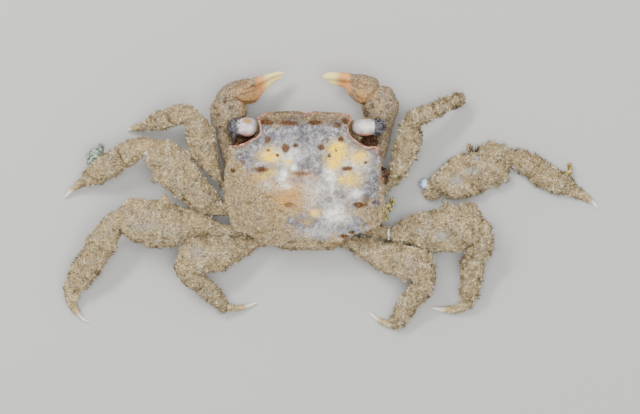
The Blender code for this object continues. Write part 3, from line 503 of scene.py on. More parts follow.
LOOSE_LEG = {
    "ischium": [(15.8, -1.8, 0.8, 0.45, 0.6), (16.7, -1.8, 0.95, 0.7, 0.85), (17.9, -1.9, 0.9, 0.5, 0.75)],
    "merus": [(16.6, -1.0, 1.0, 0.45, 0.8), (18.1, -0.4, 1.2, 1.54, 1.1), (19.5, -0.1, 1.35, 2.52, 1.25),
              (21.3, 0.6, 1.4, 2.84, 1.3), (23.4, 1.2, 1.4, 2.56, 1.3), (25.0, 2.0, 1.4, 2.81, 1.3),
              (26.1, 2.7, 1.35, 2.44, 1.2), (27.2, 3.0, 1.2, 1.7, 1.0)],
    "carpus": [(27.5, 3.3, 1.2, 0.76, 0.9), (28.7, 2.8, 1.25, 1.38, 1.1), (29.9, 2.2, 1.3, 1.47, 1.2),
               (31.1, 1.7, 1.25, 1.56, 1.15)],
    "propodus": [(31.1, 1.5, 1.25, 1.75, 1.15), (32.6, 0.4, 1.2, 1.6, 1.1), (34.4, -0.5, 1.0, 1.41, 0.95),
                 (35.7, -1.2, 0.8, 1.02, 0.75), (36.7, -1.8, 0.65, 0.65, 0.6)],
    "dactyl": [(36.7, -1.8, 0.6, 0.65, 0.55), (37.9, -2.4, 0.5, 0.48, 0.45), (38.8, -3.0, 0.4, 0.3, 0.3),
               (39.5, -3.8, 0.3, 0.1, 0.15)],
}
CLAWS = {
    "left": {
        "arm": [(-9.9, 1.0, 2.6, 1.2, 1.1), (-10.5, 3.0, 2.7, 1.0, 1.1), (-11.1, 5.1, 2.9, 1.03, 1.15),
                (-11.4, 7.2, 3.7, 1.02, 1.3)],
        "wrist": [(-11.6, 7.4, 3.9, 1.7, 1.4), (-11.0, 8.6, 4.5, 2.35, 1.7), (-10.5, 9.7, 4.8, 2.44, 1.8),
                  (-10.1, 11.1, 4.9, 1.95, 1.6)],
        "palm": [(-12.0, 10.1, 4.6, 0.79, 1.4), (-11.2, 11.1, 5.0, 1.23, 1.8), (-10.1, 11.7, 5.2, 1.42, 2.0),
                 (-9.0, 11.9, 5.0, 1.61, 1.95), (-7.8, 12.0, 4.5, 1.76, 1.7), (-6.8, 12.4, 4.0, 1.18, 1.2),
                 (-5.7, 12.8, 3.6, 0.54, 0.8), (-4.7, 13.5, 3.3, 0.32, 0.5), (-3.5, 14.1, 3.1, 0.41, 0.25)],
        "finger": [(-8.1, 12.8, 6.0, 0.61, 0.7), (-7.0, 13.2, 6.0, 0.65, 0.75), (-6.0, 13.6, 5.6, 0.48, 0.7),
                   (-5.0, 14.0, 4.9, 0.37, 0.6), (-4.0, 14.3, 4.3, 0.35, 0.42), (-3.1, 14.4, 3.8, 0.3, 0.25)]},
    "right": {
        "arm": [(8.6, 1.3, 2.6, 0.74, 1.1), (9.4, 3.0, 2.7, 0.98, 1.1), (10.0, 5.1, 2.9, 1.07, 1.15),
                (10.5, 7.2, 3.7, 0.96, 1.3)],
        "wrist": [(10.5, 7.4, 3.9, 1.3, 1.4), (10.1, 8.8, 4.5, 2.22, 1.7), (9.8, 10.3, 4.9, 2.5, 1.85),
                  (9.8, 11.5, 5.0, 2.06, 1.7), (9.9, 12.4, 4.9, 1.76, 1.4)],
        "palm": [(9.1, 11.8, 5.0, 2.03, 1.7), (7.9, 12.1, 5.2, 2.01, 2.0), (6.8, 12.6, 4.8, 1.78, 1.8),
                 (5.7, 13.0, 4.1, 1.18, 1.3), (4.8, 13.0, 3.7, 0.56, 0.85), (3.7, 13.2, 3.3, 0.35, 0.45),
                 (2.7, 13.6, 3.1, 0.34, 0.22)],
        "finger": [(6.9, 13.2, 6.0, 0.66, 0.7), (5.8, 13.7, 6.0, 0.64, 0.75), (4.7, 13.9, 5.5, 0.57, 0.7),
                   (3.6, 14.0, 4.7, 0.55, 0.58), (2.7, 14.0, 4.1, 0.54, 0.42), (2.1, 13.9, 3.75, 0.46, 0.25)]},
}
EYES = {
    "left": [(-6.7, 7.1, 6.9, 0.7, 0.7), (-7.4, 7.1, 7.0, 1.2, 1.2), (-8.3, 7.1, 7.0, 1.3, 1.25),
             (-9.2, 7.1, 7.0, 1.0, 1.05), (-10.1, 7.1, 7.0, 0.9, 0.9), (-10.6, 7.1, 7.0, 0.4, 0.5)],
    "right": [(6.0, 7.1, 6.9, 0.7, 0.7), (6.8, 7.1, 7.0, 1.1, 1.15), (7.9, 7.1, 7.0, 1.2, 1.2),
              (8.9, 7.1, 7.0, 1.0, 1.05), (9.8, 7.1, 7.0, 0.9, 0.9), (10.4, 7.1, 7.0, 0.4, 0.5)],
}
SIDES = {"left": -1.0, "right": 1.0}
LIMB_ANGLES = {"claw": 42.0, 1: 17.0, 2: -8.0, 3: -32.0, 4: -57.0}
STERNUM_CENTRE_Y = -2.5
STERNUM_RADII = (7.0, 6.0)
LIMB_ROOT_HEIGHT = 2.45
BLUNT_END = 4.5
FINE = 0.10
JOINT_REACH = 0.3

# The teeth on the upper legs: place along the piece, side (+1 is its left), reach in mm
TEETH = {("left", 2): [(0.71, -1, 0.65), (0.72, 1, 0.75)], ("left", 4): [(0.48, 1, 0.4), (0.94, -1, 0.35)],
         ("left", 3): [(0.63, -1, 1.15), (0.71, 1, 0.45), (0.95, -1, 0.4)],
         ("right", 2): [(0.86, 1, 0.45), (0.59, 1, 0.4)],
         ("right", 3): [(0.73, 1, 0.9), (0.70, -1, 0.5), (0.93, 1, 0.45)],
         ("right", 4): [(0.97, 1, 0.5), (0.72, -1, 0.35), (0.45, -1, 0.3)]}
print("legs:", len(LEFT_LEGS) + len(RIGHT_LEGS) + 1)


# %% Rings along a limb piece
def through(stations, places):
    """A smooth cubic curve through the stations, read at places from 0 to 1 along its length."""
    rows = np.array(stations, dtype=float)
    steps = np.linalg.norm(np.diff(rows[:, :3], axis=0), axis=1)
    knots = np.concatenate([[0.0], np.cumsum(steps)]) / steps.sum()
    slopes = np.gradient(rows, knots, axis=0)
    spot = np.clip(np.searchsorted(knots, places, side="right") - 1, 0, len(knots) - 2)
    width = (knots[spot + 1] - knots[spot])[:, None]
    t = ((places - knots[spot]) / width[:, 0])[:, None]
    return ((2 * t**3 - 3 * t**2 + 1) * rows[spot] + (t**3 - 2 * t**2 + t) * width * slopes[spot]
            + (3 * t**2 - 2 * t**3) * rows[spot + 1] + (t**3 - t**2) * width * slopes[spot + 1])


def lengthen(stations, at_start, at_end):
    """The stations with a straight run of so many mm added at each end."""
    rows = np.array(stations, dtype=float)
    first, last = rows[0].copy(), rows[-1].copy()
    first[:3] += unit(rows[0, :3] - rows[1, :3]) * at_start
    last[:3] += unit(rows[-1, :3] - rows[-2, :3]) * at_end
    longer = np.concatenate([[first], rows, [last]])
    return longer[int(at_start == 0):len(longer) - int(at_end == 0)]


def limb_skin(stations, reach=(JOINT_REACH, JOINT_REACH), teeth=(), spacing=FINE, blunt=BLUNT_END):
    """Rings on a limb piece: centre + closing (cos a half width side + sin a half depth up), where side is
    level and closing = (1 - |2s - 1|^blunt)^(1/blunt). A tooth stands out along side, as a cone."""
    rows = lengthen(stations, *reach)
    length = np.linalg.norm(np.diff(rows[:, :3], axis=0), axis=1).sum()
    girth = 2.0 * np.pi * np.sqrt((rows[:, 3].max() ** 2 + rows[:, 4].max() ** 2) / 2.0)
    around = int(max(24, girth / spacing))
    first = (1.0 - 0.96**blunt) ** (1.0 / blunt)
    narrow = np.linspace(0.12, first, 8, endpoint=False)
    near = (1.0 - (1.0 - narrow**blunt) ** (1.0 / blunt)) / 2.0
    s = np.concatenate([near, np.linspace(0.02, 0.98, int(max(16, length / spacing))), 1.0 - near[::-1]])
    line = through(rows, s)
    forward = unit((through(rows, np.clip(s + 0.02, 0, 1)) - through(rows, np.clip(s - 0.02, 0, 1)))[:, :3])
    side = unit(np.cross([0.0, 0.0, 1.0], forward))
    up = np.cross(forward, side)
    closing = (1.0 - np.abs(2.0 * s - 1.0) ** blunt) ** (1.0 / blunt)
    a = 2.0 * np.pi * np.arange(around) / around
    wide = (line[:, 3] * closing)[:, None] * np.cos(a)
    deep = (line[:, 4] * closing)[:, None] * np.sin(a)
    points = line[:, None, :3] + wide[..., None] * side[:, None] + deep[..., None] * up[:, None]
    for spot, hand, height in teeth:
        off_tip = np.where(hand > 0, np.abs(np.angle(np.exp(1j * a))), np.abs(np.angle(np.exp(1j * (a - np.pi)))))
        away = np.hypot((s - spot)[:, None] * length, off_tip * rows[:, 4].max())
        points += (height * hand * np.clip(1.0 - away / (0.35 + 0.55 * height), 0.0, 1.0))[..., None] * side[:, None]
    return points


def sternum_root(side, which):
    """Where a limb meets the breast plate's oval side."""
    angle = np.radians(LIMB_ANGLES[which])
    return (SIDES[side] * STERNUM_RADII[0] * np.cos(angle), STERNUM_CENTRE_Y + STERNUM_RADII[1] * np.sin(angle),
            LIMB_ROOT_HEIGHT)


def hip_stations(root, meet, wide=0.95, deep=0.95):
    """Three stations from the breast plate to the next piece, swollen in the middle."""
    middle = (np.array(root) + np.array(meet)) / 2.0
    return [(*root, wide * 0.9, deep), (*middle, wide, deep * 1.1), (*meet, wide * 0.85, deep)]


trial = limb_skin(LEFT_LEGS[3]["merus"])
print("rings on the widest upper leg:", trial.shape[:2])

# %% [markdown]
# Short stiff hairs hold the silt and stand out as a ragged fringe along each edge. A particle system would
# not survive the trip to another program, so each hair is a real cone of four triangles. They grow at
# random places spread evenly by area, lean towards the tip of the leg, and mat together in tufts, because
# neighbouring hairs read the same slow noise for their lean. Where the felt is worn, few hairs stay.

# %% Hairs
HAIR_SUNK = 0.06
# Worn places where the grey shell shows through: x, y, reach along x and y, share, in picture pixels
BALD_PLACES = [(457, 181, 6, 5, 0.9), (472, 171, 8, 4, 0.8), (479, 158, 4, 3, 1.0), (419, 230, 6, 4, 0.7),
               (440, 236, 9, 5, 0.6), (410, 262, 9, 5, 0.4), (146, 226, 14, 5, 0.4), (196, 252, 9, 6, 0.45)]


def scatter(rings, density, rng):
    """Random places on a grid of rings, so many to a square mm: the places, outward ways and along ways."""
    nxt = np.roll(rings, -1, axis=1)
    area = np.linalg.norm(np.cross(nxt[1:] - rings[:-1], rings[1:] - nxt[:-1]), axis=-1) / 2.0
    pick = rng.choice(area.size, rng.poisson(area.sum() * density), p=area.ravel() / area.sum())
    i, j = np.divmod(pick, area.shape[1])
    u, v = rng.random((2, len(pick), 1))
    places = ((1 - u) * ((1 - v) * rings[i, j] + v * nxt[i, j])
              + u * ((1 - v) * rings[i + 1, j] + v * nxt[i + 1, j]))
    return places, skin_normals(rings)[i, j], unit(rings[i + 1, j] - rings[i, j])


def crowd(points, faces, tones):
    """Many small bodies as one shell: the points of each, the faces that all share, and a tone for each."""
    count, corners = points.shape[:2]
    fans = (np.arange(count)[:, None, None] * corners + np.array(faces)).reshape(-1, 3)
    return {"points": above_floor(points).reshape(-1, 3), "quads": np.zeros((0, 4), int), "fans": fans,
            "marks": {"tone": np.repeat(tones, corners)}}


def cones(roots, ways, lengths, widths, tones, rng):
    """Three-sided cones: a base triangle square to each way, sunk a little, and a point at its far end."""
    across = unit(np.cross(ways, (0.31, 0.85, 0.42)))
    other = np.cross(ways, across)
    turn = rng.random(len(roots))[:, None] * 2.0 * np.pi + np.arange(3) * 2.0 * np.pi / 3.0
    ring = np.cos(turn)[..., None] * across[:, None] + np.sin(turn)[..., None] * other[:, None]
    base = roots[:, None] - ways[:, None] * HAIR_SUNK + ring * np.reshape(widths, (-1, 1, 1))
    tips = roots + ways * np.reshape(lengths, (-1, 1))
    return crowd(np.concatenate([base, tips[:, None]], axis=1), [[0, 1, 3], [1, 2, 3], [2, 0, 3], [0, 2, 1]], tones)


def felt_hairs(rings, density, length, rng, width=0.055, fringe=False, lean=0.3):
    """Matted hairs over a skin: way = outward + lean × along + slow noise, length about the given one. A
    fringe grows only on the edges, where the skin faces sideways."""
    places, outward, along = scatter(rings, density, rng)
    if fringe:
        edge = (np.abs(outward[:, 2]) < 0.6) & (lumps(places, 0.6, 29) > 0.0)
        places, outward, along = places[edge], outward[edge], along[edge]
    matting = np.stack([lumps(places, 0.55, seed) for seed in (21, 22, 23)], axis=-1)
    ways = unit(outward + along * lean + matting * (0.6 + lean) + rng.normal(0.0, 0.25, places.shape))
    lengths = length * (0.5 + 0.9 * rng.random(len(places)) ** 2) * (1.0 + 0.6 * lumps(places, 0.9, 24))
    slow, quick = lumps(places, 0.9, 25), lumps(places, 0.3, 26)
    tones = np.clip(0.5 + 0.14 * rng.normal(size=len(places)) + 0.36 * slow + 0.5 * quick, 0.0, 1.0)
    worn = 0.9 * patches(places, BALD_PLACES, 0.3, 35) > rng.random(len(places))
    clear = ((places + ways * lengths[:, None])[:, 2] > FLOOR_CLEARANCE) & ~worn
    return cones(places[clear], ways[clear], lengths[clear], width * (0.7 + 0.6 * rng.random(clear.sum())),
                 tones[clear], rng)


trial = felt_hairs(limb_skin(LEFT_LEGS[3]["merus"]), 1.0, 0.2, np.random.default_rng(1))
print("triangles in a hair:", len(trial["fans"]) * 4 // len(trial["points"]))

# %% [markdown]
# Sand grains are caught between the hairs. They could be specks in the finish, but a few of them stand
# proud and glint at the edge of a leg, so they are small crystals. On bare shell and on the rusty spots
# hardly any stay, and a share by place says so.

# %% Sand grains
GRAIN_SIZE = 0.07
CRYSTAL = np.array([(1, 0, 0), (0, 1, 0), (-1, 0, 0), (0, -1, 0), (0, 0, 1), (0, 0, -1)], float)
CRYSTAL_FACES = [[0, 1, 4], [1, 2, 4], [2, 3, 4], [3, 0, 4], [1, 0, 5], [2, 1, 5], [3, 2, 5], [0, 3, 5]]


def sand(rings, density, rng, size=GRAIN_SIZE, hold=None):
    """An eight-sided crystal at each random place, drawn out by chance each way. Where the share hold(places)
    is low, few grains stay."""
    places, outward, _ = scatter(rings, density, rng)
    if hold is not None:
        stay = rng.random(len(places)) < hold(places)
        places, outward = places[stay], outward[stay]
    reach = size * (0.5 + rng.random((len(places), 3)) ** 2)
    points = (places + outward * 0.03)[:, None] + CRYSTAL * reach[:, None]
    return crowd(points, CRYSTAL_FACES, rng.random(len(places)))


print("triangles in a sand grain:", len(CRYSTAL_FACES))

# %% [markdown]
# A leg is a hip, a broad merus, a short carpus, a long propodus and a curved dactyl, the pointed last
# joint. The first four are buried in silt, so they share one coat, with a dark seam where carpus and
# propodus meet. The dactyl is nearly bare horn, so it is a piece of its own. Three crops of hairs grow on
# a coat: short clots all over, a long fringe, and thick burrs of matted hair on the edges. The right-hand
# legs hold more silt, in longer tufts, than the left-hand ones.

# %% Coats and hairs for the legs
SILT_DEPTH = 0.26
SAND_DENSITY = 5.0
SEAM_WIDTH, SEAM_DEPTH = 0.10, 0.16
COAT_BLUNT = 7.0
LEG_REACH = {"hip": (0.3, 0.5), "merus": (0.4, 0.35), "carpus": (0.55, 0.6), "propodus": (0.6, 0.35)}
# Hairs to a square mm and their length in mm
LEG_HAIR = {"left": {"clots": (28.0, 0.14), "fringe": (26.0, 0.38), "burrs": (7.0, 0.36)},
            "right": {"clots": (36.0, 0.19), "fringe": (44.0, 0.5), "burrs": (9.0, 0.36)}}
# Width of a hair in mm, and how it grows
HAIR_KINDS = {"clots": (0.085, {"lean": 0.9}), "fringe": (0.06, {"fringe": True}), "burrs": (0.15, {"fringe": True})}


def coated(stations, depth, **shape):
    """A limb skin with silt on it, pressed flat where it would reach below the floor."""
    rings = limb_skin(stations, **shape)
    return above_floor(swell(rings, silt_height(rings, depth)))


def seam_share(rings, chain):
    """A mark round the joint of carpus and propodus: exp(-(d / width)^2), d the way along the leg from it."""
    joint = np.array(chain["propodus"][0][:3])
    ahead = unit(np.array(chain["propodus"][1][:3]) - np.array(chain["carpus"][-2][:3]))
    return np.exp(-((((rings - joint) @ ahead + 0.18 * lumps(rings, 0.7, 33)) / SEAM_WIDTH) ** 2))


def dress_leg(side, number, pieces, seed, joined=True):
    """One leg's silt coat, hairs and sand. A joined leg has a hip; the loose one starts at its merus."""
    rng = np.random.default_rng(seed)
    name = f"leg_{side}_{number}"
    chain = {part: pieces[part] for part in ("merus", "carpus", "propodus")}
    if joined:
        chain["hip"] = hip_stations(sternum_root(side, number), pieces["merus"][0][:3])
    grids, shells = [], []
    for part, stations in chain.items():
        teeth = TEETH.get((side, number), ()) if part == "merus" else ()
        rings = coated(stations, SILT_DEPTH, teeth=teeth, reach=LEG_REACH[part], blunt=COAT_BLUNT)
        seam = seam_share(rings, chain) if part in ("carpus", "propodus") else np.zeros(rings.shape[:2])
        rings = swell(rings, -SEAM_DEPTH * seam)
        grids.append(rings)
        shells.append(shell(rings, seam=seam, bald=patches(rings, BALD_PLACES, 0.3, 35)))
    make_piece(f"{name}_coat", shells, silt, [f"{name}_{part}" for part in chain])
    hairs = []
    for kind, (width, habit) in HAIR_KINDS.items():
        density, length = LEG_HAIR[side][kind]
        hairs += [felt_hairs(rings, density, length, rng, width, **habit) for rings in grids]
    make_piece(f"{name}_felt", hairs, felt)
    make_piece(f"{name}_sand", [sand(rings, SAND_DENSITY, rng) for rings in grids], grit)


for number, pieces in LEFT_LEGS.items():
    dress_leg("left", number, pieces, 100 + number)
for number, pieces in RIGHT_LEGS.items():
    dress_leg("right", number, pieces, 200 + number)
dress_leg("right", 2, LOOSE_LEG, 202, joined=False)

# %% [markdown]
# The dactyl is a curved thorn of straw-coloured horn. Silt clings to its first half only, and the last
# stretch thins to a pale, almost clear point. A mark along the piece, 0 at the joint and 1 at the tip,
# drives that change, because a pattern on coordinates alone would not know which end is which.

# %% The horn finish and the dactyls
horn, tree, shader, place = new_finish("dactyl_horn", 0.45, 0.4)
clean = washes(tree, place, (192, 170, 122), [(0.5, 0.0, 0.35, 0.65, 1.0, (174, 150, 108)),
                                              (0.22, 3.0, 0.55, 0.68, 0.5, (212, 194, 150))])
clean = tones_along(tree, "along", clean, (0.5, 0.82, (240, 238, 228)))
muddy = washes(tree, place, (140, 122, 88), [(0.3, 9.0, 0.4, 0.62, 1.0, (204, 188, 150))])
apply(tree, shader, place, layer(tree, between(tree, mark(tree, "along"), 0.55, 0.3), clean, muddy),
      bumps=(0.15, 2.0, 0.04), roughness=between(tree, mark(tree, "along"), 0.35, 0.8, 0.8, 0.25))


def dress_dactyl(side, number, stations, seed):
    """A thorn whose silt fades out towards its tip; returns the hairs of its first part."""
    rings = limb_skin(stations, reach=(JOINT_REACH, 0.0), spacing=0.07)
    along = np.broadcast_to(np.linspace(0.0, 1.0, len(rings))[:, None], rings.shape[:2])
    dirty = 1.0 - soft_step(along, 0.25, 0.7)
    rings = above_floor(swell(rings, silt_height(rings, 0.12) * dirty))
    name = f"leg_{side}_{number}_dactyl"
    make_piece(f"{name}_horn", [shell(rings, along=along)], horn, [name])
    return felt_hairs(rings[: int(len(rings) * 0.6)], 34.0, 0.19, np.random.default_rng(seed), 0.06)


dactyl_hairs = [dress_dactyl("left", number, pieces["dactyl"], 300 + number) for number, pieces in LEFT_LEGS.items()]
dactyl_hairs += [dress_dactyl("right", number, pieces["dactyl"], 310 + number)
                 for number, pieces in RIGHT_LEGS.items() if "dactyl" in pieces]
dactyl_hairs.append(dress_dactyl("right", 2, LOOSE_LEG["dactyl"], 320))
make_piece("dactyl_felt", dactyl_hairs, felt)

# %% [markdown]
# The back shield is what the eye goes to. It is a low box with rounded edges: the margin runs round it,
# notched by the two orbits, and the side walls tuck in below. A subdivided box could be pushed into shape,
# but the notches would tear it. A polar grid suits it better: rings shrink from the margin to the middle
# of the back above, and to the middle of the underside below.

# %% The margin of the back shield, in mm
FRONT_MARGIN = [
    (-10.5, 4.6), (-9.4, 4.6), (-8.4, 4.9), (-7.6, 5.3), (-6.8, 5.7), (-6.3, 6.3), (-6.4, 7.4), (-6.7, 8.4),
    (-5.9, 8.9), (-3.7, 9.2), (-1.1, 9.2), (-0.2, 8.9), (0.9, 9.2), (3.8, 9.0), (5.7, 8.8), (6.1, 8.4),
    (5.6, 7.4), (5.5, 6.6), (5.8, 5.9), (6.5, 5.3), (7.2, 4.7), (8.2, 4.3), (9.0, 4.5), (9.7, 4.3)]
RIGHT_MARGIN = [(9.5, -6.2), (10.2, -5.3), (10.5, -3.5), (10.3, -2.0), (10.2, -0.4), (9.9, 1.6), (10.3, 2.7),
                (9.8, 3.4), (9.7, 4.3)]
REAR_MARGIN = [(-9.7, -6.9), (-7.8, -7.3), (-6.3, -8.4), (-5.3, -8.8), (-0.1, -9.1), (4.1, -8.9), (4.8, -8.1),
               (6.3, -7.3), (8.2, -6.9), (9.5, -6.2)]
LEFT_MARGIN = [(-9.7, -6.9), (-10.3, -5.7), (-10.6, -4.1), (-11.0, -2.7), (-11.2, -0.3), (-11.0, 1.4),
               (-10.7, 2.7), (-10.5, 4.6)]
SHIELD_TOP = 9.4
SHIELD_UNDERSIDE = 4.15
# Swellings and furrows: x, y, reach along x, reach along y, height
SHIELD_RELIEF = [
    (-3.1, 5.0, 1.5, 1.3, 0.35), (2.6, 5.0, 1.5, 1.3, 0.35), (-6.6, 3.0, 1.8, 1.6, 0.25),
    (6.4, 3.0, 1.8, 1.6, 0.25), (0.0, 0.6, 3.2, 2.6, 0.45), (-7.6, -2.2, 2.2, 3.2, 0.35),
    (7.4, -2.2, 2.2, 3.2, 0.35), (0.2, -5.2, 2.8, 1.9, 0.4), (-0.4, 5.2, 0.5, 3.2, -0.45),
    (-3.4, -2.2, 1.0, 1.6, -0.4), (3.6, -2.2, 1.0, 1.6, -0.4), (0.0, -2.5, 2.0, 0.6, -0.25),
    (-4.9, 0.9, 0.8, 2.0, -0.25), (4.9, 0.9, 0.8, 2.0, -0.25), (-4.5, -6.4, 1.2, 1.2, -0.2),
    (4.7, -6.4, 1.2, 1.2, -0.2)]
# Low forms that only the dressed shield has: lobes behind the front edge, and a ridge to each rear corner
SHIELD_DETAIL = [
    (-2.4, 7.6, 1.7, 0.55, 0.22), (1.6, 7.6, 1.5, 0.55, 0.22), (-5.3, 7.7, 0.8, 0.5, 0.18), (4.8, 7.7, 0.9, 0.5, 0.18),
    (-0.3, 7.6, 0.35, 0.8, -0.22), (-8.6, 0.2, 0.9, 1.6, 0.12), (8.6, 0.2, 0.9, 1.6, 0.12),
    (6.2, -6.6, 1.6, 0.35, 0.16), (-6.2, -6.6, 1.6, 0.35, 0.16), (0.0, -8.1, 4.5, 0.3, 0.14)]
RIM_COLUMNS = 640
BEAD = 0.16

loop = np.array(FRONT_MARGIN + RIGHT_MARGIN[-2::-1] + REAR_MARGIN[-2::-1] + LEFT_MARGIN[1:-1])
print("corners round the margin:", len(loop))


# %% Walk the margin and raise the back
def walk_round(corners, count, softening):
    """Evenly spaced points round a closed line, each a bell-weighted mean over so many mm of the line."""
    closed = np.concatenate([corners, corners[:1]])
    reached = np.concatenate([[0.0], np.cumsum(np.linalg.norm(np.diff(closed, axis=0), axis=1))])
    stops = np.arange(count) * reached[-1] / count
    line = np.stack([np.interp(stops, reached, closed[:, axis]) for axis in (0, 1)], axis=-1)
    away = np.minimum(stops, reached[-1] - stops)
    bell = np.exp(-((away / softening) ** 2))
    turned = np.fft.fft(line, axis=0) * np.fft.fft(bell / bell.sum())[:, None]
    return np.real(np.fft.ifft(turned, axis=0))


def bells(x, y, forms):
    """A sum of bell-shaped swellings and furrows."""
    return sum(rise * np.exp(-(((x - cx) / reach_x) ** 2) - ((y - cy) / reach_y) ** 2)
               for cx, cy, reach_x, reach_y, rise in forms)


def back_height(x, y):
    """Height of the back: flat on top, less a drop at the front, the sides and the rear, plus its swellings."""
    front = 2.6 * np.clip((y - 7.2) / 2.0, 0.0, None) ** 1.4
    sides = 2.0 * np.clip((np.abs(x) - 7.5) / 3.5, 0.0, None) ** 2
    rear = 3.0 * np.clip((-2.0 - y) / 7.0, 0.0, None) ** 2
    return SHIELD_TOP - front - sides - rear + bells(x, y, SHIELD_RELIEF) + bells(x, y, SHIELD_DETAIL)


rim = walk_round(loop, RIM_COLUMNS, 0.22)
heading = unit(np.roll(rim, -1, axis=0) - np.roll(rim, 1, axis=0))
rim_out = np.stack([-heading[:, 1], heading[:, 0]], axis=-1)
print("margin length in mm:", round(float(np.linalg.norm(np.roll(rim, -1, axis=0) - rim, axis=1).sum()), 1))

# %% [markdown]
# The colours of the back lie in soft-edged patches: blue-grey bare shell in front, yellow and cream where
# the light reaches what lies under a thin wet shell, rusty spots, and tan silt towards the rear and the
# sides. A picture could be projected on, but it would freeze one photograph into the part. Instead each
# patch is an oval with a place and a reach, its edge broken by slow noise, summed into one mark a tone.

# %% The patches of colour on the back
# Each oval: x, y, reach along x and y, share, in picture pixels
YELLOW_PATCHES = [(271, 156, 9, 7, 1.3), (338, 153, 9, 10, 1.5), (359, 158, 8, 6, 1.1), (333, 164, 6, 6, 1.0),
                  (289, 163, 3.5, 3.5, 0.9), (349, 180, 10, 7, 0.8), (315, 213, 6, 4, 0.6),
                  (270, 172, 6, 4, 0.6), (262, 177, 6, 3, 0.4)]
CREAM_PATCHES = [(294, 168, 3, 3, 1.0), (281, 178, 8, 9, 0.6), (329, 175, 6, 5, 1.0), (320, 190, 18, 13, 0.45),
                 (332.5, 190, 2, 6, 0.7), (284, 175, 3, 5, 0.75), (288, 186, 4, 3, 0.8),
                 (337, 215, 14, 10, 0.8), (268, 186, 7, 6, 0.5), (284, 158, 12, 7, 0.6), (350, 166, 16, 10, 0.5),
                 (355, 195, 8, 6, 0.55), (296, 152, 20, 9, 0.3), (318, 233, 22, 6, 0.35)]
BARE_PATCHES = [(306, 137, 48, 14, 1.2), (306, 158, 60, 22, 1.0), (328, 188, 44, 24, 1.0), (372, 158, 10, 20, 0.9),
                (330, 226, 38, 16, 0.8), (262, 150, 14, 14, 0.6)]
# Dark grey ovals: partly the shell's own grey, partly painted shade along the median furrow and in the furrows of the
# back
GREY_AND_SHADE_PATCHES = [(307, 152, 3, 13, 0.4), (308, 163, 5, 4, 0.5), (328, 198, 5, 4, 0.8), (365, 197, 4, 6, 0.95),
                (299, 222, 10, 5, 0.4), (346, 228, 6, 4, 0.4), (258, 141, 4, 3, 0.5), (250, 153, 6, 5, 0.4),
                (367, 147, 9, 4, 0.4)]
TAN_PATCHES = [(292, 190, 22, 11, 1.2), (302, 175, 12, 4, 0.6), (262, 176, 12, 8, 0.4), (300, 205, 16, 8, 0.35)]
RUSTY_SPOTS = [(267, 123, 7, 3.4), (291, 124, 10.5, 3), (315, 123.5, 8.5, 3.4), (337, 126, 6, 3.2), (345, 122, 4, 4),
               (268, 140, 3.6, 4.4), (286, 149, 4.4, 4), (296, 146, 2.6, 2.6), (321, 148, 4, 3.2),
               (341, 140, 3.4, 3.2), (244, 163, 2.8, 3, 0.8), (234, 171, 3, 2.6), (262, 170, 8, 3),
               (347, 169, 7, 3), (302, 174, 10, 2.4, 0.8), (360, 205, 7, 3), (289, 205, 6, 2.6, 0.7),
               (249, 203, 6, 3, 0.45), (365, 163, 2.2, 1.8), (269, 151, 2, 1.6), (278, 156, 1.8, 1.6),
               (329, 156, 1.8, 1.8), (336, 151, 1.6, 1.4), (374, 203, 2.6, 2.2, 0.8), (269, 211, 2.4, 2, 0.5),
               (270, 197, 4, 1.6, 0.5), (343, 197, 2.8, 2.2, 0.6), (363, 199, 4, 4.4, 0.5),
               (330, 200, 4.4, 3.4, 0.45), (292, 242, 5, 1.8, 0.7), (320, 243, 4, 1.6, 0.7),
               (335, 244, 5, 1.8, 0.7), (303, 232, 3, 2, 0.5), (345, 236, 5, 1.8), (352, 232, 4, 2),
               (242, 155, 2, 1.8, 0.7), (230, 108, 2, 2), (325, 142, 4, 3, 0.5), (258, 232, 6, 1.8, 0.5),
               (281, 211, 2.6, 1.6, 0.5), (368, 183, 3, 1.6, 0.8)]


def rusty(points):
    """How rusty the back is at a point, 0 to 1: firm-edged spots."""
    return patches(points, RUSTY_SPOTS, 0.24, 41, hard=True)


def silt_cover(points):
    """How thick the silt lies on the back, 0 to 1: what the bare patches leave, broken into islands by noise."""
    thick = 1.05 - 1.3 * soft_step(patches(points, BARE_PATCHES, 0.35, 31), 0.1, 0.8)
    return soft_step(thick + 0.30 * lumps(points, 0.6, 36) + 0.25 * lumps(points, 0.25, 37), 0.1, 0.8)


print("patches:", len(YELLOW_PATCHES + CREAM_PATCHES + BARE_PATCHES + GREY_AND_SHADE_PATCHES + TAN_PATCHES),
      "spots:", len(RUSTY_SPOTS))

# %% [markdown]
# The bare shell is granular and a little wet, the silt over it is dry and rough. One finish holds both,
# and a mark says how thick the silt lies. Rusty pigment spots and the pink lip of the orbits are painted
# last, so silt never hides them.

# %% The shield's finish
shield, tree, shader, place = new_finish("shield_shell", 0.6, 0.25)
bare = washes(tree, place, (112, 111, 117), [
    (0.9, 0.0, 0.35, 0.65, 1.0, (142, 141, 146)), (0.28, 6.0, 0.46, 0.7, 0.75, (188, 180, 166)),
    (0.7, 9.0, 0.5, 0.62, 0.7, (186, 186, 194)), (0.6, 13.0, 0.5, 0.38, 0.7, (92, 90, 98)),
    (0.24, 3.0, 0.48, 0.34, 0.7, (78, 76, 80))])
mud = washes(tree, place, (158, 137, 102), [
    (1.5, 1.0, 0.35, 0.65, 1.0, (142, 129, 108)), (0.32, 8.0, 0.46, 0.68, 0.75, (206, 190, 154)),
    (0.28, 2.0, 0.48, 0.32, 0.6, (92, 74, 50)), (0.9, 5.0, 0.5, 0.68, 0.5, (196, 172, 128)),
    (0.8, 7.0, 0.48, 0.34, 0.5, (122, 106, 86))])
colour = stain(tree, "silted", bare, mud)
fleck = between(tree, grain(tree, place, 0.45, 7.0), 0.36, 0.56, 0.6, 1.0)
# The dark grey mark is partly the shell's own grey and partly painted shade in the furrows of the back
for name, tone in (("grey", (84, 80, 86)), ("tan", (196, 152, 86)), ("cream", (246, 243, 234))):
    colour = stain(tree, name, colour, paint(*tone), fleck)
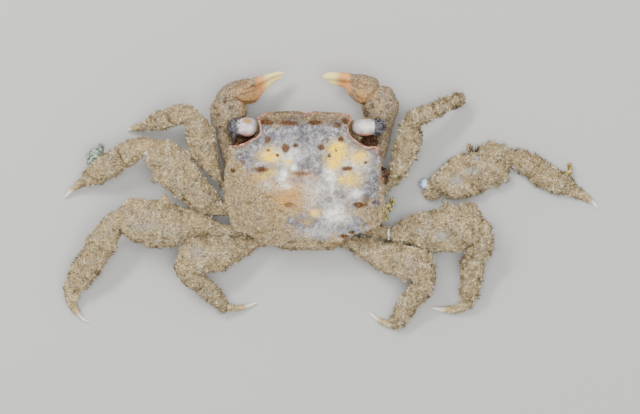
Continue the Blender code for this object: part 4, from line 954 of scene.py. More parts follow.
fleck = between(tree, grain(tree, place, 0.6, 8.0), 0.3, 0.5, 0.8, 1.0)
colour = stain(tree, "yellow", colour, paint(255, 216, 66), fleck)
colour = speckle(tree, place, colour, 0.13, 0.03, paint(74, 60, 48), 15.0)
rust = washes(tree, place, (64, 42, 23), [(0.25, 4.0, 0.35, 0.6, 1.0, (114, 79, 43))])
fleck = between(tree, grain(tree, place, 0.3, 12.0), 0.3, 0.5, 0.8, 1.0)
colour = stain(tree, "brown", colour, rust, fleck)
pink = washes(tree, place, (212, 160, 140), [(0.5, 2.0, 0.35, 0.65, 1.0, (150, 88, 60))])
colour = stain(tree, "lip", colour, pink)
apply(tree, shader, place, colour, bumps=(0.16, 5.0, 0.06),
      roughness=between(tree, mark(tree, "silted"), 0.1, 0.7, 0.5, 0.92))
print("finish:", shield.name)

# %% [markdown]
# Now the rings. Rows run from the middle of the back out to the margin, round a small bead there, down
# the wall and in to the middle of the underside. Under each orbit the wall swings out to floor the socket,
# and the swing fades over the first rows of the underside, so that the skin doesn't fold over itself.
# The margin is toothed and thickened, so the height gains a lip that fades away from the edge.

# %% The rings of the back shield
TOP_ROWS, BEAD_ROWS, WALL_ROWS, UNDER_ROWS = 92, 6, 18, 10
WALL_TUCK, FOOT_SHARE = 0.07, 0.93


def shield_rings():
    """Rows of points: s × inner margin with height back(x, y) + lip, then an arc of bead radius, then the
    wall at 1 - 0.07 t of the plan and a straight fall, then the underside shrinking to its middle."""
    inner = rim - rim_out * BEAD
    s = np.linspace(0.004, 1.0, TOP_ROWS)[:, None]
    plan = s[..., None] * inner
    away = (1.0 - s) * np.linalg.norm(inner, axis=1)
    frontal = soft_step(inner[:, 1], 3.0, 4.6) * 0.20 + 0.10
    lip = frontal * np.exp(-((away / 0.28) ** 2)) - 0.10 * np.exp(-(((away - 0.7) / 0.35) ** 2))
    top = np.concatenate([plan, (back_height(plan[..., 0], plan[..., 1]) + lip)[..., None]], axis=-1)
    edge = top[-1, :, 2]
    a = np.linspace(np.pi / 2, -np.pi / 3, BEAD_ROWS + 1)[1:, None]
    out = inner + (np.cos(a) * BEAD)[..., None] * rim_out
    bead = np.concatenate([out, (edge - BEAD + np.sin(a) * BEAD)[..., None]], axis=-1)
    t = np.linspace(0.0, 1.0, WALL_ROWS + 1)[1:, None]
    foot = bead[-1]
    wall = np.empty((WALL_ROWS, RIM_COLUMNS, 3))
    wall[..., :2] = foot[:, :2] * (1.0 - WALL_TUCK * t)[..., None]
    x, y = np.abs(wall[..., 0]), wall[..., 1]
    floor_edge = 8.0 - (x - 6.0) * 0.85
    socket = soft_step(x, 5.2, 5.9) * soft_step(-x, -10.1, -9.6) * soft_step(y, 3.7, 4.3) * (y < floor_edge)
    wall[..., 1] += socket * t**1.5 * (floor_edge - y) / 2.0
    wall[..., 2] = foot[:, 2] + (SHIELD_UNDERSIDE - foot[:, 2]) * t
    plan = foot[:, :2] * FOOT_SHARE
    swing = (wall[-1, :, :2] - plan) * np.clip(1.0 - np.arange(UNDER_ROWS) / 2.0, 0.0, 1.0)[:, None, None]
    under = np.full((UNDER_ROWS, RIM_COLUMNS, 3), SHIELD_UNDERSIDE)
    under[..., :2] = (plan + swing) * np.linspace(0.97, 0.02, UNDER_ROWS)[:, None, None]
    return np.concatenate([top, bead, wall, under])


rings = shield_rings()
bead_end, wall_end = TOP_ROWS + BEAD_ROWS, TOP_ROWS + BEAD_ROWS + WALL_ROWS
row = np.arange(len(rings))[:, None]
on_back, on_wall = row < bead_end, (row >= bead_end) & (row < wall_end)
print("rings on the shield:", rings.shape[:2])

# %% [markdown]
# The marks on those rings: how thick the silt lies, the pink lip round the orbits, rust on the spots and
# along the front edge and the side teeth, and a grey-brown strip behind the front edge. Then the skin is
# raised by silt where it is silted, and by a faint grain where it is bare.

# %% Marks and relief of the back shield
silted = np.where(on_back, silt_cover(rings), 1.0)
edge_gap = np.abs(np.linalg.norm(rings[..., :2], axis=-1) - np.linalg.norm(rim, axis=1))
orbital = soft_step(rim[:, 1], 3.9, 4.5) * soft_step(np.abs(rim[:, 0]), 4.6, 5.4) * (np.abs(rim[:, 0]) < 10.4)
frontal = soft_step(rim[:, 1], 8.0, 8.6)
toothed = soft_step(rim[:, 0], 9.0, 9.4) * soft_step(rim[:, 1], -1.2, -0.4)
near_edge = np.exp(-((edge_gap / (0.26 + 0.26 * (rim[:, 0] > 9.0))) ** 2))
broken = soft_step(lumps(rings, 0.9, 44), -0.5, 0.2)
lip = (orbital + frontal * (rim[:, 0] > -0.4) * 0.6 * broken + 0.2 * toothed * broken) * near_edge
lip = np.where(on_wall, 0.5 * orbital * np.exp(-((row - bead_end) / 3.0)), np.clip(lip, 0, 0.9))
mottle = np.clip(0.42 + 0.35 * lumps(rings, 0.45, 45) + 0.3 * lumps(rings, 0.22, 46), 0, 1)
strip = soft_step(rings[..., 1], 7.15, 7.6) * mottle
edging = (0.9 * frontal * (rim[:, 0] < 0.2) * broken + toothed * np.maximum(broken, 0.6)) * near_edge
brown = np.maximum(rusty(rings), np.maximum(0.5 * strip, edging)) * on_back
brown = np.maximum(brown, on_wall * 0.5 * np.clip(orbital + toothed, 0.0, 1.0))
cream = patches(rings, CREAM_PATCHES, 0.25, 51) * on_back
yellow = patches(rings, YELLOW_PATCHES, 0.25, 61) * on_back
tan = patches(rings, TAN_PATCHES, 0.3, 71) * on_back
# Dark grey: the shell's own grey and the strip's grey, plus painted shade in the furrows of the back
grey = np.maximum(patches(rings, GREY_AND_SHADE_PATCHES, 0.3, 77), 0.8 * strip) * on_back

faint = 0.02 * lumps(rings, 0.25, 9) + 0.05 * lumps(rings, 1.1, 10)
relief = silt_height(rings, 0.13) * silted + (1.0 - silted) * faint
rings = swell(rings, relief * np.minimum(1.0, row / 6.0) * (on_back | on_wall))
make_piece("shield", [shell(rings, silted=silted, lip=lip, brown=brown, cream=cream, yellow=yellow, tan=tan,
                            grey=grey)], shield, ["carapace"])
print("silted share of the back:", round(float(silted[:TOP_ROWS].mean()), 2))

# %% [markdown]
# Felt grows where the silt lies, and it is thickest on the rear edge and the sides, where it makes a
# ragged fringe. Each hair's place is looked up in the same patches, and hairs on bare shell and on rusty
# spots are dropped. Sand grains lie there by the same rule.

# %% Felt and sand on the shield
SHIELD_HAIRS, SHIELD_HAIR_WIDTH = 34.0, 0.07
SHIELD_SAND, SHIELD_GRAIN_SIZE = 5.0, 0.055
shield_rng = np.random.default_rng(7)
outer = rings[:wall_end]
places, outward, _ = scatter(outer, SHIELD_HAIRS, shield_rng)
orbit_zone = (places[:, 1] > 3.9) & (np.abs(places[:, 0]) > 5.0) | (places[:, 1] > 7.3)
keep = (shield_rng.random(len(places)) < silt_cover(places) * (1.0 - rusty(places))) & ~orbit_zone
places, outward = places[keep], outward[keep]
matting = np.stack([lumps(places, 0.6, seed) for seed in (26, 27, 28)], axis=-1)
ways = unit(outward + matting * 1.6 + shield_rng.normal(0.0, 0.3, places.shape))
sideways = 1.0 - np.abs(outward[:, 2])
lengths = (0.09 + 0.16 * sideways) * (0.6 + 0.9 * shield_rng.random(len(places)) ** 2)
tones = np.clip(0.45 + 0.25 * shield_rng.normal(size=len(places)), 0.0, 1.0)
rear = outer[:, np.abs(rim[:, 1] + 8.2) < 1.4]
rear_fringe = felt_hairs(rear, 30.0, 0.3, shield_rng, 0.05, fringe=True)
widths = SHIELD_HAIR_WIDTH * np.ones(len(places))
make_piece("shield_felt", [cones(places, ways, lengths, widths, tones, shield_rng), rear_fringe], felt)


def sand_hold(points):
    """The share of sand grains that stay at a point: all on silt, few on bare shell, none on rust."""
    return (0.15 + 0.85 * silt_cover(points)) * (1.0 - rusty(points))


sandy = sand(outer[2:], SHIELD_SAND, shield_rng, SHIELD_GRAIN_SIZE, sand_hold)
make_piece("shield_sand", [sandy], grit)

# %% [markdown]
# Below the orbits the shield folds into two cheeks, and each socket has a floor of thin brown skin. Low on
# the right side a near-black lump stands between the teeth and the legs: partly the bare flank's brown,
# partly painted shade for the hollow under the shield's edge. They could be part of the shield's grid, but
# a polar grid can't double back on itself, so they are rounded forms of their own that pass into it.

# %% Cheeks, socket floors and the flank lump, partly painted shade
def drawn_out(wave, power):
    """The wave with its size raised to a power and its sign kept: below 1 a circle turns squarish."""
    return np.sign(wave) * np.abs(wave) ** power


def egg(centre, radii, count=60, around=90, square=1.0):
    """A rounded form: centre + radii × the sphere's x, y, z, each drawn out by the power square."""
    f = np.linspace(0.03, np.pi - 0.03, count)[:, None]
    a = 2.0 * np.pi * np.arange(around) / around
    ball = np.stack([np.sin(f) * np.cos(a), np.sin(f) * np.sin(a), np.broadcast_to(-np.cos(f), (count, around))], -1)
    return np.array(centre) + drawn_out(ball, square) * np.array(radii)


# Near-black brown with tan mottling: thin skin in the sockets, and on the flank lump also painted shade for a hollow
hollow, tree, shader, place = new_finish("orbit_skin", 0.85, 0.2)
colour = washes(tree, place, (44, 28, 20), [(0.5, 0.0, 0.35, 0.62, 1.0, (88, 62, 46)),
                                            (0.9, 6.0, 0.52, 0.64, 0.6, (136, 108, 82))])
colour = speckle(tree, place, colour, 0.2, 0.02, paint(150, 130, 106), 3.0)
apply(tree, shader, place, colour, bumps=(0.2, 5.0, 0.05))

floors, cheeks = [], []
for hand in SIDES.values():
    rings = egg((hand * 7.9 - 0.2, 5.25, 4.9), (1.8, 1.25, 0.55), 60, 100)
    floors.append(shell(swell(rings, 0.22 * lumps(rings, 0.7, 11) + 0.16 * lumps(rings, 0.3, 12))))
    rings = egg((hand * 5.7, 5.5, 3.8), (2.5, 2.6, 1.7), 70, 120, 0.8)
    cheeks.append(shell(swell(rings, silt_height(rings, 0.08))))
# The flank lump's near-black finish is partly the flank's brown and partly painted shade for the hollow under the
# shield's edge
rings = egg((10.15, 0.55, 6.5), (0.55, 1.05, 2.1))
flank = shell(swell(rings, 0.26 * lumps(rings, 0.5, 17) + 0.15 * lumps(rings, 0.22, 18)))
make_piece("orbit_floors", floors, hollow)
make_piece("flank_with_painted_shade", [flank], hollow)
make_piece("cheeks", cheeks, silt)

# %% [markdown]
# An eye is a smooth, wet, lilac-white stalk that ends in a dark cornea with a beard of grey hairs. A tan
# cap lies on its upper side and its rear side blushes. The stalk's gloss comes from a low roughness, so
# the lights draw the highlights and nothing is painted on.

# %% The eyes
eye, tree, shader, place = new_finish("eye_stalk", 0.22, 0.6)
colour = washes(tree, place, (172, 168, 180), [(1.1, 0.0, 0.35, 0.65, 1.0, (220, 212, 206)),
                                               (0.35, 5.0, 0.55, 0.7, 0.5, (176, 152, 142))])
colour = stain(tree, "cap", colour, paint(176, 142, 98))
colour = stain(tree, "blush", colour, paint(206, 146, 122))
dark = washes(tree, place, (62, 58, 60), [(0.2, 2.0, 0.4, 0.6, 1.0, (120, 118, 122))])
apply(tree, shader, place, stain(tree, "cornea", colour, dark), bumps=(0.5, 2.0, 0.05),
      roughness=between(tree, mark(tree, "cornea"), 0.2, 0.8, 0.2, 0.6))

beard, tree, shader, place = new_finish("eye_beard", 0.8, 0.2)
apply(tree, shader, place, stain(tree, "tone", paint(52, 50, 54), paint(190, 192, 200)))

CORNEA_EDGE = {"left": (9.1, 9.6), "right": (8.75, 9.2)}
CAPS = {"left": [(248, 122, 6, 4)], "right": [(364, 118, 6, 2.5)]}
CAP_HEIGHT, BEARD_FROM, BEARD_WIDTH = 7.3, 8.9, 0.035
beards = []
for side, stations in EYES.items():
    rings = limb_skin(stations, reach=(0.0, 0.0), spacing=0.06, blunt=6.0)
    rings = swell(rings, 0.05 * lumps(rings, 0.7, 12))
    cornea = soft_step(np.abs(rings[..., 0]) + 0.15 * lumps(rings, 0.4, 13), *CORNEA_EDGE[side])
    cap = patches(rings, CAPS[side], 0.25, 81, hard=True) * (rings[..., 2] > CAP_HEIGHT)
    blush = 0.85 * soft_step(-skin_normals(rings)[..., 1], 0.6, 0.95) * (1.0 - cornea)
    make_piece(f"eye_{side}_stalk", [shell(rings, cornea=cornea, cap=cap, blush=blush)], eye,
               [f"eye_{side}"])
    rng = np.random.default_rng(400 + len(side))
    places, outward, along = scatter(rings[np.abs(rings[:, 0, 0]) > BEARD_FROM], 26.0, rng)
    ways = unit(outward + along * 0.5 + rng.normal(0.0, 0.35, places.shape))
    tones = (rng.random(len(places)) > 0.62) * rng.random(len(places))
    lengths = 0.25 + 0.35 * rng.random(len(places))
    beards.append(cones(places, ways, lengths, BEARD_WIDTH * np.ones(len(places)), tones, rng))
make_piece("eye_beards", beards, beard)

# %% [markdown]
# The claws are the cleanest part: finely granular shell in tan and grey with brown pigment spots on the
# wrists, orange creases on the hands, and fingers that pass from pink to cream. Creases are lines laid
# over the plan, dug a little and stained. Both fingers share the finish, so the change of tone runs on.

# %% The claws' finish
claw, tree, shader, place = new_finish("claw_shell", 0.6, 0.3)
colour = washes(tree, place, (150, 131, 102), [
    (1.3, 0.0, 0.35, 0.65, 1.0, (136, 124, 106)), (0.3, 6.0, 0.46, 0.72, 0.8, (200, 184, 154)),
    (0.26, 3.0, 0.5, 0.3, 0.75, (88, 72, 52))])
fleck = between(tree, grain(tree, place, 0.4, 7.0), 0.3, 0.6, 0.35, 1.0)
for name, tone in (("orange", (188, 148, 94)), ("crease", (132, 88, 50)), ("brown", (72, 48, 30))):
    colour = stain(tree, name, colour, paint(*tone), fleck)
colour = speckle(tree, place, colour, 0.16, 0.05, paint(56, 44, 32), 4.0)
colour = stain(tree, "pink", colour, paint(220, 162, 108))
colour = stain(tree, "cream", colour, paint(255, 238, 166))
apply(tree, shader, place, colour, bumps=(0.18, 5.0, 0.05),
      roughness=between(tree, mark(tree, "pink"), 0.2, 0.8, 0.62, 0.3))

# Ovals in picture pixels, as on the back
CLAW_SPOTS = [(231, 108, 3, 2.4), (225, 103, 2.2, 2), (219, 115, 2.6, 2.6), (216, 108, 2, 2), (221, 127, 2.6, 2),
              (226, 99, 1.6, 1.4), (387, 107, 2.6, 2.6), (388, 119, 3, 2.6), (372, 106, 3, 3), (364, 104, 2.6, 3),
              (378, 100, 2, 1.6), (390, 101, 2, 2), (381, 112, 1.6, 1.4), (366, 112, 3.4, 5)]
ORANGE_PATCHES = [(250, 94, 13, 11, 0.6), (249, 101, 9, 4, 0.9), (361, 94, 14, 10, 0.6), (360, 101, 8, 5, 0.9)]
# Lines in picture pixels
CREASES = [[(240, 96), (247, 94), (255, 91), (262, 87)], [(236, 98), (243, 102), (250, 103), (256, 101)],
           [(256, 81), (260, 85), (262, 91)], [(228, 91), (238, 86), (247, 83)], [(244, 90), (251, 88), (257, 84)],
           [(344, 86), (345, 81), (348, 77), (352, 75)], [(378, 86), (374, 92), (369, 97), (365, 101)],
           [(352, 90), (357, 97), (363, 101)], [(350, 84), (357, 88), (366, 90)], [(356, 82), (364, 85), (372, 86)]]
CREASE_WIDTH, CREASE_DEPTH = 0.09, 0.07
# Where pink and cream begin and are full, in mm from the middle of the crab
FINGER_MARKS = {"left": {"pink": (-7.3, -6.2), "cream": (-6.3, -5.1)},
                "right": {"pink": (-6.2, -5.2), "cream": (-4.7, -3.4)}}
print("claw finish:", claw.name, "creases:", len(CREASES))

# %% [markdown]
# A claw is a hip, an arm, a wrist, a palm with its fixed finger, and the moving finger. The more silt a
# piece holds, the blunter its ends, and the fingers hold hardly any. Few hairs grow on arm and wrist.

# %% The claws
# How far a piece reaches into its neighbours, in mm, and its share of silt
CLAW_PIECES = {"hip": ((0.3, 0.5), 1.0), "arm": ((0.4, 1.0), 1.4), "wrist": ((0.5, 0.2), 1.3),
               "palm": ((0.2, 0.0), 0.7), "finger": ((0.0, 0.0), 0.3)}


def near_lines(points, lines, width):
    """A mark along drawn lines: exp(-(d / width)^2), where d is the plan distance to the nearest stretch."""
    total = np.zeros(points.shape[:-1])
    for line in lines:
        corners = np.array([from_picture(*corner) for corner in line])
        for start, end in zip(corners, corners[1:]):
            reach = end - start
            t = np.clip(((points[..., :2] - start) @ reach) / (reach @ reach), 0.0, 1.0)
            d = np.linalg.norm(points[..., :2] - start - t[..., None] * reach, axis=-1)
            total = np.maximum(total, np.exp(-((d / width) ** 2)))
    return total


def claw_skin(side, stations, reach, silted):
    """One claw piece with its marks: spots and creases from above, pink and cream by how near the tip it is."""
    rings = limb_skin(stations, reach=reach, spacing=0.085, blunt=3.2 if silted < 0.5 else 6.0)
    upper = soft_step(skin_normals(rings)[..., 2], -0.1, 0.4)
    crease = near_lines(rings, CREASES, CREASE_WIDTH) * upper
    wrinkle = lumps(rings * (1.0, 3.2, 1.0), 0.9, 14)
    rings = swell(rings, silt_height(rings, 0.07 * silted) + 0.03 * wrinkle - CREASE_DEPTH * crease)
    inward = -np.abs(rings[..., 0])
    tips = {name: soft_step(inward, *span) * (silted < 1) for name, span in FINGER_MARKS[side].items()}
    return shell(rings, crease=crease, brown=patches(rings, CLAW_SPOTS, 0.25, 91, hard=True) * upper * 0.85,
                 orange=patches(rings, ORANGE_PATCHES, 0.35, 95), **tips), rings


for side, pieces in CLAWS.items():
    hip = hip_stations(sternum_root(side, "claw"), pieces["arm"][0][:3], 0.9)
    parts = {name: claw_skin(side, stations, *CLAW_PIECES[name]) for name, stations in
             {"hip": hip, **pieces}.items()}
    finger, _ = parts.pop("finger")
    make_piece(f"claw_{side}_hand", [part for part, _ in parts.values()], claw,
               [f"claw_{side}_{name}" for name in parts])
    make_piece(f"claw_{side}_moving_finger", [finger], claw, [f"claw_{side}_finger"])
    rng = np.random.default_rng(500 + len(side))
    hairs = [felt_hairs(parts[name][1], 7.0, 0.16, rng, 0.035) for name in ("arm", "wrist")]
    make_piece(f"claw_{side}_felt", hairs, felt)

# %% [markdown]
# The photograph doesn't show the underside, so it follows what such crabs have. First comes the breast
# plate, cut by sutures that run to each leg. It could be carved from a block, but a profile turned into an
# oval gives its rounded edge at once, and the sutures are dug where a bell round each one says so.

# %% The breast plate
belly, tree, shader, place = new_finish("belly_shell", 0.55, 0.4)
colour = washes(tree, place, (186, 166, 128), [(1.4, 0.0, 0.35, 0.65, 1.0, (160, 142, 112)),
                                               (0.3, 4.0, 0.5, 0.68, 0.5, (218, 204, 170))])
colour = stain(tree, "groove", colour, paint(84, 64, 44))
colour = speckle(tree, place, colour, 0.18, 0.04, paint(110, 92, 74), 5.0)
apply(tree, shader, place, colour, bumps=(0.2, 5.0, 0.04))

GROOVE_STAIN = 0.8
PLATE_COLUMNS = 300
SUTURES = np.radians([60.0, 29.5, 4.5, -20.0, -44.5, 120.0, 150.5, 175.5, -160.0, -135.5])
a = 2.0 * np.pi * np.arange(PLATE_COLUMNS) / PLATE_COLUMNS
# The profile: share of the oval's radii, height in mm
profile = np.array([(0.04, 0.95)] + [(0.04 + 0.70 * t, 0.95) for t in np.linspace(0.1, 1.0, 24)]
                   + [(0.79, 1.0), (0.82, 1.12)]
                   + [(0.82 + 0.18 * t, 1.12 + 2.88 * t) for t in np.linspace(0.1, 1.0, 22)]
                   + [(0.96, 4.0), (0.5, 4.0), (0.04, 4.0)])
share, height = profile[:, :1], profile[:, 1:]
rings = np.stack([share * STERNUM_RADII[0] * np.cos(a), STERNUM_CENTRE_Y + share * STERNUM_RADII[1] * np.sin(a),
                  np.broadcast_to(height, (len(profile), PLATE_COLUMNS))], axis=-1)
off = np.abs(np.angle(np.exp(1j * (a[:, None] - SUTURES))))
groove = np.exp(-((off / 0.035) ** 2)).max(1) * soft_step(share, 0.3, 0.6)
rings = swell(rings, -0.16 * groove * (height < 3.9))
make_piece("breast_plate", [shell(rings, groove=groove * GROOVE_STAIN)], belly, ["sternum"])

# %% [markdown]
# The tail is folded forward under the breast plate. Its flap has seven segments and ends in a point, and
# its first segments climb behind to the shield's rear edge. Both are squarish tubes on a line from rear to
# front, with a groove between segments. The flap's underside is flat, because the crab rests on it.

# %% The tail flap and its root
FLAP_REAR, FLAP_FRONT, FLAP_SEGMENTS, FLAP_THICK = -9.2, 2.7, 7, 0.85
FLAP_ROWS, TAIL_COLUMNS, ROOT_ROWS = 150, 120, 90
ROOT_SEGMENTS, ROOT_LENGTH = 3.0, 5.2
# y, z, half width, half thickness in mm, from the flap up to the shield's rear edge
ROOT_STATIONS = [(-8.0, 0.47, 3.7, 0.4), (-8.7, 0.7, 3.9, 0.42), (-9.0, 1.6, 3.8, 0.42), (-8.9, 2.9, 3.5, 0.42),
                 (-8.4, 4.5, 3.1, 0.4)]
a = 2.0 * np.pi * np.arange(TAIL_COLUMNS) / TAIL_COLUMNS


def segment_seams(t, count, length, width):
    """A mark at the joints of count equal segments: exp(-(d / width)^2), d the way along to the nearest."""
    off = np.abs(((t * count + 0.5) % 1.0) - 0.5) / count * length
    return np.exp(-((off / width) ** 2))


t = np.linspace(0.004, 0.996, FLAP_ROWS)[:, None]
seam = segment_seams(t, FLAP_SEGMENTS, FLAP_FRONT - FLAP_REAR, 0.10)
seam = seam * soft_step(t, 0.03, 0.08) * soft_step(-t, -0.97, -0.93)
half = 3.3 * (1.0 - t) ** 0.8 + 0.75 * np.sqrt(1.0 - t**6) + 0.1 - 0.12 * seam
rings = np.stack([-drawn_out(np.cos(a), 0.4) * half,
                  np.broadcast_to(FLAP_REAR + (FLAP_FRONT - FLAP_REAR) * t, (FLAP_ROWS, TAIL_COLUMNS)),
                  FLAP_THICK / 2 * (1.0 + drawn_out(np.sin(a), 0.4) * (1.0 - 0.22 * seam))], axis=-1)
groove = np.broadcast_to(seam * GROOVE_STAIN, rings.shape[:2])
make_piece("tail_flap", [shell(rings, groove=groove)], belly, ["abdomen"])

t = np.linspace(0.0, 1.0, ROOT_ROWS)
line = through(np.array([(0.0, *station) for station in ROOT_STATIONS]), t)
climb = unit(np.gradient(line[:, 1:3], axis=0))
seam = segment_seams(t[:, None], ROOT_SEGMENTS, ROOT_LENGTH, 0.12) * soft_step(t[:, None], 0.15, 0.25)
thick = line[:, 4:5] * (1.0 - 0.3 * seam) * drawn_out(np.sin(a), 0.62)
rings = np.stack([-drawn_out(np.cos(a), 0.62) * (line[:, 3:4] - 0.1 * seam), line[:, 1:2] - climb[:, 1:2] * thick,
                  line[:, 2:3] + climb[:, 0:1] * thick], axis=-1)
rings = above_floor(swell(rings, silt_height(rings, 0.1)))
groove = np.broadcast_to(seam * GROOVE_STAIN, rings.shape[:2])
make_piece("tail_root", [shell(rings, groove=groove)], belly)
root_felt = felt_hairs(rings[24:], 34.0, 0.2, np.random.default_rng(550), 0.07, lean=0.6)
make_piece("tail_root_felt", [root_felt], felt)

# %% [markdown]
# Two square plates cover the mouth, each with a seam across and a seam along. They are rounded forms drawn
# out until they are nearly boxes, and they slope up towards the front.

# %% The mouth plates
for side, hand in SIDES.items():
    rings = egg((hand * 1.58, 6.0, 2.35), (1.5, 2.35, 1.15), 70, 110, 0.72)
    seam = np.exp(-(((rings[..., 1] - 6.5) / 0.10) ** 2)) + np.exp(-(((rings[..., 0] - hand * 2.3) / 0.10) ** 2))
    seam = np.clip(seam, 0.0, 1.0)
    rings[..., 2] += 0.16 * (rings[..., 1] - 6.0)
    make_piece(f"mouth_plate_{side}", [shell(swell(rings, -0.12 * seam), groove=seam * GROOVE_STAIN)], belly,
               [f"maxilliped_{side}"])

# %% [markdown]
# Where the second right leg broke off, a short stump stays on the body with a tuft of yellow-green growth.
# The leg itself lies beside it, with its ischium, the small piece next to the hip, and a bead of
# blue-white flesh at the torn end. The bead is wet and lets light in, so it gets a low roughness and a
# little subsurface scattering.

# %% The broken joint
stump = coated(hip_stations(sternum_root("right", 2), (9.9, -3.6, 2.6), 1.0), SILT_DEPTH, reach=(JOINT_REACH, 0.0))
make_piece("stump_coat", [shell(stump)], silt, ["leg_right_2_stump"])
ischium = coated(LOOSE_LEG["ischium"], SILT_DEPTH, reach=(0.0, 0.0))
make_piece("ischium_coat", [shell(ischium)], silt, ["leg_right_2_ischium"])
rng = np.random.default_rng(600)
make_piece("broken_joint_felt", [felt_hairs(stump, 30.0, 0.3, rng), felt_hairs(ischium, 46.0, 0.34, rng)], felt)

flesh, tree, shader, place = new_finish("flesh_bead", 0.12, 0.7)
colour = washes(tree, place, (120, 146, 178), [(0.6, 0.0, 0.35, 0.65, 1.0, (206, 220, 234))])
apply(tree, shader, place, colour)
shader.inputs["Subsurface Weight"].default_value = 0.3
shader.inputs["Subsurface Radius"].default_value = (0.0006, 0.0007, 0.0009)
shader.inputs["Subsurface Scale"].default_value = 1.0
BEAD_PLACE, BEAD_RADIUS = (15.85, -0.5), 0.74
rings = egg((*BEAD_PLACE, BEAD_RADIUS + FLOOR_CLEARANCE), (BEAD_RADIUS,) * 3)
make_piece("flesh_bead", [shell(swell(rings, 0.07 * lumps(rings, 0.5, 15)))], flesh,
           ["leg_right_2_flesh_bead"])
print("broken joint dressed")

# %% [markdown]
# Last come the odds and ends that cling to the crab as it was pictured. They stay, because dirt is part of
# the specimen: a blue-green tuft on the left leg, a straw-coloured crumb on the loose leg, grains at a
# tooth, a white ligament, and the yellow-green growth at the socket. Each is a handful of lumps.

# %% Crumbs and tufts
def crumb(centre, radii, seed, rough=0.45, count=36, around=50):
    """An irregular lump: a rounded form whose skin is pushed in and out by noise, by a share of its radii."""
    rings = egg(centre, radii, count, around)
    step = min(radii)
    push = rough * step * (lumps(rings, step * 1.6, seed) + 0.5 * lumps(rings, step * 0.8, seed + 1))
    return above_floor(swell(rings, push))


def crumb_finish(name, one, other, roughness):
    """A rough two-tone finish for a crumb."""
    material, tree, shader, place = new_finish(name, roughness, 0.3)
    colour = washes(tree, place, one, [(0.35, 0.0, 0.38, 0.62, 1.0, other)])
    colour = speckle(tree, place, colour, 0.15, 0.08, paint(60, 52, 44), 2.0)
    apply(tree, shader, place, colour, bumps=(0.12, 3.0, 0.06))
    return material


alga = crumb_finish("blue_green_tuft", (96, 110, 102), (176, 186, 172), 0.7)
straw = crumb_finish("straw_crumb", (122, 98, 48), (204, 184, 118), 0.6)
growth = crumb_finish("yellow_growth", (140, 122, 64), (232, 224, 168), 0.7)
white = crumb_finish("white_tissue", (206, 208, 212), (236, 236, 234), 0.35)

tuft = [crumb((-28.7, 3.3, 3.3), (1.0, 1.0, 0.6), 701, 0.3), crumb((-28.0, 4.1, 3.3), (0.5, 0.8, 0.35), 703, 0.4),
        crumb((-29.4, 2.8, 3.1), (0.5, 1.0, 0.4), 704, 0.4), crumb((-28.9, 2.4, 3.1), (0.9, 0.7, 0.5), 706, 0.4)]
fuzz = [felt_hairs(rings, 40.0, 0.26, np.random.default_rng(702), 0.035) for rings in tuft]
make_piece("blue_green_tuft", [shell(rings) for rings in tuft], alga)
make_piece("blue_green_fuzz", fuzz, alga)
husk = [crumb((35.65, 1.45, 0.95), (0.34, 0.85, 0.4), 705), crumb((34.9, 0.75, 0.8), (0.5, 0.4, 0.35), 707)]
make_piece("straw_crumb", [shell(rings) for rings in husk], straw)

GROWTH_LUMPS = 12
rng = np.random.default_rng(709)
trail = np.linspace((10.15, -4.9, 3.2), (11.65, -2.65, 3.4), GROWTH_LUMPS) + rng.normal(0.0, 0.12, (GROWTH_LUMPS, 3))
tuft = [crumb(spot, (0.52 - 0.03 * step) * (0.8 + 0.5 * rng.random(3)), 711 + step, 0.9, 18, 24)
        for step, spot in enumerate(trail)]
make_piece("yellow_growth", [shell(rings) for rings in tuft], growth)
make_piece("yellow_fuzz", [felt_hairs(rings, 60.0, 0.24, rng, 0.035) for rings in tuft], growth)
grains = np.array((18.9, -3.6, 6.1)) + rng.normal(0.0, 1.0, (9, 3)) * (0.35, 0.4, 0.25)
make_piece("tooth_grains", [shell(crumb(spot, 0.1 + 0.12 * rng.random(3), 731 + step, 0.4, 12, 16))
                            for step, spot in enumerate(grains)], straw)
make_piece("ligament", [shell(crumb((10.95, -7.35, 3.75), (0.17, 0.8, 0.12), 719, 0.1))], white)

# %% [markdown]
# A fan of dark bristles stands on the loose leg, held by a web of silt, and a few long white hairs stand
# out beside a hip and from the front edge. They are the same cones as the felt, only longer and each with
# a way of its own.

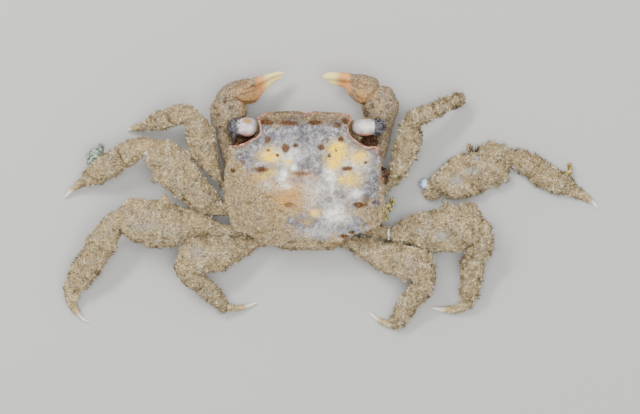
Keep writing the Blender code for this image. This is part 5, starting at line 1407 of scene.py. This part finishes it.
# %% Bristles and white hairs
def bristles(rng, origin, spread, ways, lengths, width, tone):
    """Stiff hairs from a patch about one place, each along its own way."""
    count = len(ways)
    spots = rng.normal(0.0, 1.0, (count, 3))
    roots = np.array(origin) + np.clip(spots, -1.5, 1.5) * np.array(spread)
    return cones(roots, unit(np.array(ways, float)), np.array(lengths, float), width * np.ones(count),
                 tone * np.ones(count), rng)


rng = np.random.default_rng(800)
FAN_WAYS = np.array([(-0.35, 1.0, 0.3), (-0.2, 1.0, 0.5), (-0.1, 1.0, 0.4), (0.1, 1.0, 0.5), (0.2, 1.0, 0.3),
                     (0.4, 0.9, 0.4)])
fan = [bristles(rng, (22.1 + 0.19 * step, 3.9, 2.1), (0.02, 0.06, 0.1), [way], [1.2 + 0.3 * rng.random()], 0.085, 0.0)
       for step, way in enumerate(FAN_WAYS)]
make_piece("bristle_fan", fan, beard)
web = [crumb((21.95, 4.35, 1.5), (0.42, 0.62, 0.08), 741, 0.9), crumb((23.45, 4.25, 1.5), (0.5, 0.45, 0.08), 743, 0.9)]
make_piece("bristle_web", [shell(rings) for rings in web], silt)

hip_ways = rng.normal(0, 1, (26, 3)) + (-0.6, -0.2, 0.5)
hip_lengths = 0.5 + 0.5 * rng.random(26)
# Each tuft: place, spread, ways, lengths, width in mm, and tone
WISPS = [((-11.0, -1.5, 4.6), (0.3, 0.25, 0.2), hip_ways, hip_lengths, 0.03, 1.0),
         ((27.8, 1.8, 2.1), (0.02, 0.02, 0.02), [(0.85, -0.55, -0.12)], [1.15], 0.11, 1.0),
         ((-6.4, 8.9, 6.0), (0.02, 0.02, 0.02), [(-1.0, 0.06, -0.05)], [1.9], 0.05, 0.8),
         ((6.3, 8.8, 6.0), (0.02, 0.02, 0.02), [(1.0, 0.25, -0.05)], [1.5], 0.05, 0.8),
         ((-4.3, 9.0, 6.9), (0.1, 0.02, 0.05), [(0.1, 1.0, 0.2)], [0.7], 0.025, 1.0),
         ((0.0, 8.9, 6.9), (0.1, 0.02, 0.05), [(0.1, 1.0, 0.2), (0.4, 1.0, 0.1)], [0.8, 0.5], 0.025, 1.0)]
make_piece("white_wisps", [bristles(rng, *tuft) for tuft in WISPS], beard)
